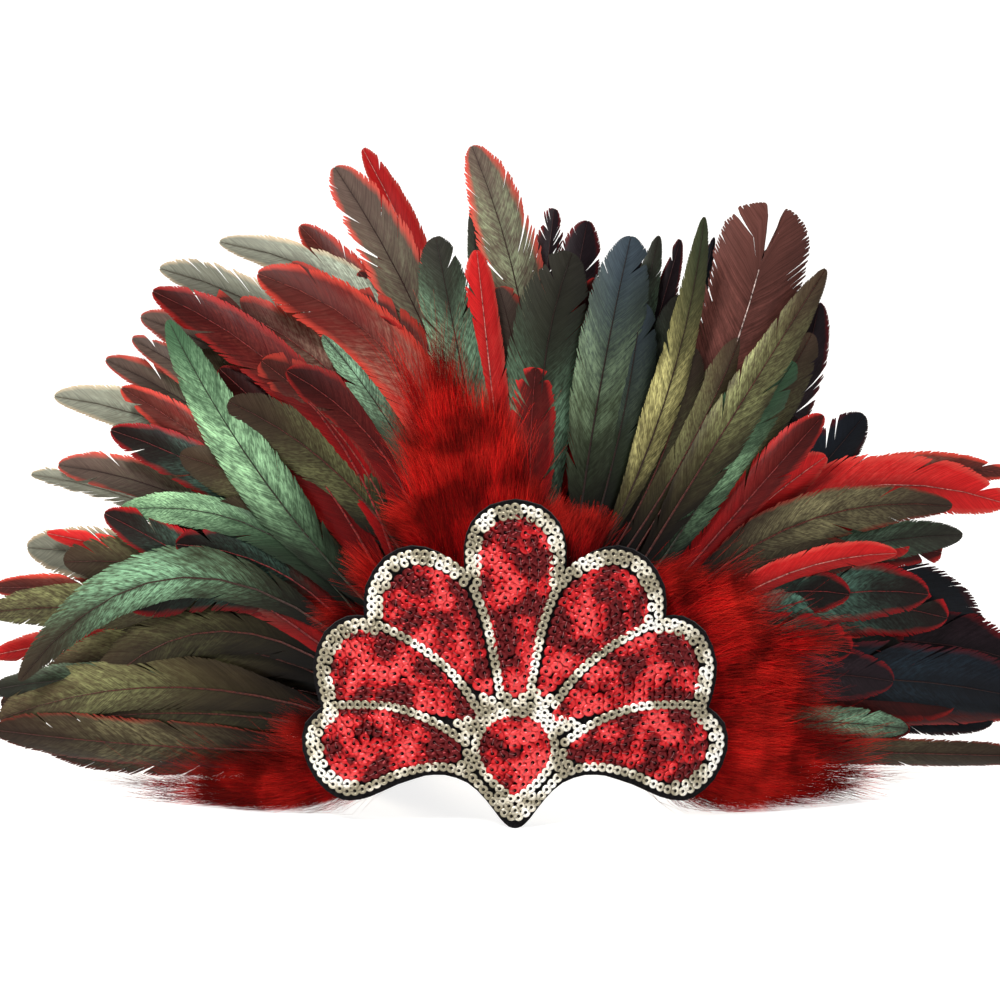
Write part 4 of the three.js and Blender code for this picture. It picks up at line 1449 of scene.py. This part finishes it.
@dataclass
class Patch:
    """The sequinned patch: silver rows round and between the petals, and red fields inside them."""

    maker: SequinMaker
    silver_radius: float = 1.9
    silver_pitch: float = 3.15
    silver_least: float = 2.75
    silver_margin: float = 0.9
    silver_band: float = 5.0
    silver_proud: float = 0.35
    silver_tilt: float = 9.0
    silver_inside: float = 0.5
    field_gap: float = 0.9
    red_radius: float = 2.6
    red_pitch: float = 4.1
    red_row: float = 3.5
    red_least: float = 3.0
    red_margin: float = 1.2
    red_rows: int = 5
    red_tilt: float = 11.0
    red_inside: float = 0.3
    ring_middle: tuple[float, float] = (0.0, 34.0)
    ring_reach: float = 26.0
    ring_rows: tuple[float, ...] = (1.9, 5.2, 8.4)
    curve_steps: int = 6
    fill_step: float = 0.6
    face_depth: float = 0.75
    tilt_change: float = 2.5
    roll_change: float = 3.0
    fields: dict[str, Array] = field(default_factory=dict)

    def outline(self, runs: Sequence[Sequence[tuple[float, float]]]) -> Array:
        """Puts a whole outline together from the right half's runs.

        Args:
            runs: the points of each run, from the top down.

        Returns:
            The outline.
        """
        right = np.vstack([spline(run, self.curve_steps)[0 if i == 0 else 1:] for i, run in enumerate(runs)])
        return np.vstack([right, mirrored(right[1:-1])])

    def build(self) -> None:
        """Builds the silver trim and the eight red fields."""
        self.fields = {
            "red_sequins_centre": self.outline([CENTRE_RUN]),
            "red_sequins_drop": self.outline([DROP_RUN]),
        }
        for i, petal in enumerate(SIDE_PETALS):
            shape = spline(petal, self.curve_steps, closed=True)
            self.fields[f"red_sequins_right_{i + 1}"] = shape
            self.fields[f"red_sequins_left_{i + 1}"] = mirrored(shape)
        self.silver()
        for name, shape in self.fields.items():
            self.red(name, shape)

    def silver(self) -> None:
        """Lays the silver rows."""
        edge = self.outline(SILVER_RUNS)
        rows = [(inset(edge, self.silver_margin), True)]
        for divider in DIVIDERS:
            line = spline(divider, self.curve_steps)
            rows += [(line, False), (mirrored(line), False)]
        drop = self.fields["red_sequins_drop"]
        rows += [(inset(drop, -by), True) for by in self.ring_rows]

        def allowed(at: Array) -> Array:
            """Tells which places lie on the trim."""
            outside = [distance_inside(at, shape) < -self.field_gap for shape in self.fields.values()]
            return (distance_inside(at, edge) > self.silver_inside) & np.all(outside, axis=0)

        def close_set(at: Array) -> Array:
            """Tells which of them lie in the double row or where the petals' feet meet the ring."""
            near_ring = np.hypot(*(at - np.array(self.ring_middle)).T) < self.ring_reach
            return allowed(at) & ((distance_inside(at, edge) < self.silver_band) | near_ring)

        places, ways = self.thinned(rows, self.silver_pitch, self.silver_least, allowed)
        places, ways = self.filled(places, ways, self.silver_least, close_set)
        piece = Assembly("silver_sequins", "silver_sequins", ["silver_sequin_trim"])
        self.lay(piece, places, ways, self.silver_radius, SILVER, self.silver_tilt, self.silver_proud)
        piece.finish()

    def red(self, name: str, shape: Array) -> None:
        """Lays one red field in rows that follow its outline.

        Args:
            name: the CAD node that it stands for.
            shape: its outline.
        """
        rows = [(inset(shape, self.red_margin + self.red_row * i), True) for i in range(self.red_rows)]
        centre = shape.mean(axis=0)
        foot = shape[np.argmin(np.hypot(*(shape - np.array(self.ring_middle)).T))]
        rows.append((np.array([foot + 0.06 * (centre - foot), (foot + centre) / 2, centre]), False))

        def allowed(at: Array) -> Array:
            """Tells which places lie in the field."""
            return distance_inside(at, shape) > self.red_inside

        places, ways = self.thinned(rows, self.red_pitch, self.red_least, allowed)
        places, ways = self.filled(places, ways, self.red_least, allowed)
        piece = Assembly(f"{name}_sewn", "red_sequins", [name])
        self.lay(piece, places, ways, self.red_radius, SCARLET, self.red_tilt)
        piece.finish()

    def thinned(self, rows: list[tuple[Array, bool]], pitch: float, least: float,
                allowed: Callable[[Array], Array]) -> tuple[Array, Array]:
        """Places along rows, less those too near an earlier one or where none may be.

        Args:
            rows: the rows, each with whether it is closed.
            pitch: the space along a row.
            least: the least space between any two places.
            allowed: tells which places may be used.

        Returns:
            The places and the direction of the row at each.
        """
        kept: list[Array] = []
        ways: list[Array] = []
        for line, closed in rows:
            places, way = even(line, pitch, closed)
            for place, direction, use in zip(places, way, allowed(places)):
                if use and all(np.hypot(*(place - other)) >= least for other in kept):
                    kept.append(place)
                    ways.append(direction)
        return np.array(kept), np.array(ways)

    def filled(self, places: Array, ways: Array, least: float,
               allowed: Callable[[Array], Array]) -> tuple[Array, Array]:
        """Adds a place wherever the rows have left room for one.

        Args:
            places: the places of the rows.
            ways: the direction of the row at each.
            least: the least space between any two places.
            allowed: tells which places may be used.

        Returns:
            All places and directions.
        """
        low, high = places.min(axis=0), places.max(axis=0)
        x, z = np.meshgrid(*(np.arange(low[i], high[i], self.fill_step) for i in (0, 1)))
        free = np.stack([x.ravel(), z.ravel()], axis=1)
        free = free[allowed(free)]
        while len(free):
            room = np.hypot(*(free[:, None] - places[None]).transpose(2, 0, 1))
            wide = room.min(axis=1) >= least
            free, room = free[wide], room[wide]
            if len(free):
                best = int(np.argmin(room.min(axis=1)))
                ways = np.vstack([ways, ways[np.argmin(room[best])]])
                places = np.vstack([places, free[best]])
        return places, ways

    def lay(self, piece: Assembly, places: Array, ways: Array, radius: float, finish: SequinFinish,
            tilt: float, proud: float = 0.0) -> None:
        """Puts a tilted sequin and its stitch at each place.

        Args:
            piece: the piece.
            places: where the holes are.
            ways: which way each row runs.
            radius: the sequins' radius.
            finish: their finish.
            tilt: how far they lean along the row, in degrees.
            proud: how far they stand in front of the red ones.
        """
        rng = self.maker.random
        disc, stitch = self.maker.disc(radius, finish.hole), self.maker.stitch()
        flat = np.array([vert.co for vert in disc.vertices])
        thread = np.array([vert.co for vert in stitch.vertices])
        for place, way in zip(places, ways):
            slope = place[0] / FAN.brow_radius
            out = np.array([slope, -1.0, 0.0]) / math.hypot(slope, 1.0)
            along = np.array([way[0], slope * way[0], way[1]])
            along /= np.linalg.norm(along)
            lean = math.radians(tilt + rng.normal(0, self.tilt_change))
            roll = math.radians(rng.normal(0, self.roll_change))
            across = np.cross(out, along)
            x_axis = along * math.cos(lean) + out * math.sin(lean)
            normal = out * math.cos(lean) - along * math.sin(lean)
            y_axis = across * math.cos(roll) + normal * math.sin(roll)
            normal = np.cross(x_axis, y_axis)
            depth = float(FAN.brow_depth(np.float64(place[0]))) - self.face_depth - proud
            centre = np.array([place[0], depth, place[1]]) + out * rng.uniform(0.0, 0.12)
            points = centre + flat[:, :1] * x_axis + flat[:, 1:2] * y_axis + flat[:, 2:] * normal
            piece.add(disc, points, finish.material(), None, seed=rng.uniform())
            run = thread[:, 2] + 0.5
            arch = 0.28 * np.sin(run * math.pi)
            spot = centre + x_axis * (run * radius * 1.02)[:, None] + normal * (0.22 + arch)[:, None]
            spot += thread[:, :1] * 0.1 * y_axis + thread[:, 1:2] * 0.1 * normal
            piece.add(stitch, spot, thread_material(finish.thread))
        bpy.data.meshes.remove(disc)
        bpy.data.meshes.remove(stitch)


@cache
def thread_material(colour: str) -> bpy.types.Material:
    """The finish of the stitches: nylon thread.

    Args:
        colour: its colour.

    Returns:
        The material.
    """
    s = Shader(f"thread_{colour}")
    twist = s.noise(s.coords(), 2500.0)
    s.set(Base_Color=s.mix(s.span(twist, 0.3, 0.7), linear("2a1a18"), linear(colour)), Roughness=0.4)
    return s.material


def felt_material(name: str, dark: str, light: str) -> bpy.types.Material:
    """A felt: matted fibres, with a fuzzy sheen.

    Args:
        name: the material's name.
        dark: its darker colour.
        light: its lighter colour.

    Returns:
        The material.
    """
    s = Shader(name)
    coords = s.coords()
    fibres, clumps = s.noise(coords, 1400.0, 4.0), s.noise(coords, 260.0)
    s.set(Base_Color=s.mix(s.span(fibres, 0.35, 0.7), linear(dark), linear(light)), Roughness=0.95,
          Specular_IOR_Level=0.1, Sheen_Weight=0.08)
    s.bump(s.maths("ADD", fibres, clumps), 0.7, 0.5 * MM)
    return s.material


def dress_cad() -> None:
    """Gives the CAD nodes that stay their finishes."""
    finishes = {
        "felt_backing": felt_material("patch_felt", "070607", "1c191b"),
        "head_band": felt_material("band_felt", "0b0a0b", "252124"),
    }
    for node, material in finishes.items():
        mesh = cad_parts[node].data
        mesh.materials.clear()
        mesh.materials.append(material)


@dataclass(frozen=True)
class Lamp:
    """A square light: its name, its place and its side in metres, its power in watts and its colour."""

    name: str
    place: tuple[float, float, float]
    side: float
    power: float
    colour: str


LAMPS = (
    Lamp("window", (-1.7, 0.7, 1.2), 1.0, 50.0, "fff6e4"),
    Lamp("key", (-0.6, -1.1, 1.7), 0.45, 38.0, "ffffff"),
    Lamp("fill", (1.4, -1.2, 0.8), 1.0, 5.0, "f4f8ff"),
)


@dataclass
class Studio:
    """The floor, the lights and the camera. The floor's sizes are in metres."""

    lens: float = 110.0
    sensor: float = 36.0
    aim_height: float = 132.8
    lit_height: float = 0.13
    sky: float = 0.22
    floor_width: float = 10.0
    floor_length: float = 20.0
    floor_front: float = 15.0
    flat_end: float = 1.6
    bend: float = 1.2
    floor_glow: float = 0.76

    def build(self) -> None:
        """Builds the studio."""
        self.floor()
        for lamp in LAMPS:
            self.light(lamp)
        self.world()
        self.camera()

    def floor(self) -> None:
        """A pale floor that curves up into a backdrop."""
        bm = bmesh.new()
        bmesh.ops.create_grid(bm, x_segments=2, y_segments=100, size=0.5)
        for vert in bm.verts:
            run = (vert.co.y + 0.5) * self.floor_length - self.floor_front
            rise = max(0.0, run - self.flat_end)
            turn = min(rise / self.bend, math.pi / 2)
            y = run if rise <= 0 else self.flat_end + self.bend * math.sin(turn)
            up = self.bend * (1 - math.cos(turn)) + max(0.0, rise - self.bend * math.pi / 2)
            vert.co = Vector((vert.co.x * self.floor_width, y, up))
        mesh = mesh_of(bm, "studio_floor")
        for face in mesh.polygons:
            face.use_smooth = True
        floor = bpy.data.objects.new("studio_floor", mesh)
        bpy.context.scene.collection.objects.link(floor)
        s = Shader("studio_white")
        s.set(Base_Color=linear("b9b8b6"), Roughness=0.9, Emission_Color=linear("ffffff"),
              Emission_Strength=self.floor_glow)
        mesh.materials.append(s.material)

    def light(self, lamp: Lamp) -> None:
        """Adds one light that faces the headdress.

        Args:
            lamp: its line of the table.
        """
        data = bpy.data.lights.new(lamp.name, "AREA")
        data.size, data.energy, data.color = lamp.side, lamp.power, linear(lamp.colour)[:3]
        made = bpy.data.objects.new(lamp.name, data)
        made.location = lamp.place
        way = Vector((0, 0, self.lit_height)) - Vector(lamp.place)
        made.rotation_euler = way.to_track_quat("-Z", "Y").to_euler()
        bpy.context.scene.collection.objects.link(made)

    def world(self) -> None:
        """A soft, even sky."""
        world = bpy.data.worlds.new("studio_sky")
        world.use_nodes = True
        background = world.node_tree.nodes["Background"]
        background.inputs[0].default_value = linear("ffffff")
        background.inputs[1].default_value = self.sky
        bpy.context.scene.world = world

    def camera(self) -> None:
        """The camera at the photograph's angle."""
        angle = math.radians(FAN.sight_angle)
        aim = Vector(to_row(np.array([FAN.sight_x, 0.0, self.aim_height])))
        back = Vector((0.0, -math.cos(angle), math.sin(angle)))
        data = bpy.data.cameras.new("front_view")
        data.lens, data.sensor_width = self.lens, self.sensor
        camera = bpy.data.objects.new("front_view", data)
        camera.location = aim + back * FAN.sight_distance * MM
        camera.rotation_euler = (-back).to_track_quat("-Z", "Y").to_euler()
        bpy.context.scene.collection.objects.link(camera)
        bpy.context.scene.camera = camera
        bpy.context.scene.view_settings.view_transform = "Standard"


def main() -> None:
    """Builds the studio and every piece of the headdress."""
    logging.basicConfig(level=logging.INFO, format="%(message)s")
    Studio().build()
    dress_cad()
    Patch(SequinMaker(np.random.default_rng(SEED))).build()
    for i, (name, (span, locks)) in enumerate(DOWN_BUNCHES.items()):
        DownBunch(name, span, locks, np.random.default_rng(DOWN_SEED + i)).build()
    for i, (name, (sheet, slot, feathers)) in enumerate(BUNCHES.items()):
        maker = FeatherMaker(np.random.default_rng(FEATHER_SEED + i))
        FeatherBunch(name, sheet, slot, feathers, maker).build()
    for shape in (VANE, DOWN, TUBE):
        bpy.data.meshes.remove(shape.mesh)


if __name__ == "__main__":
    main()
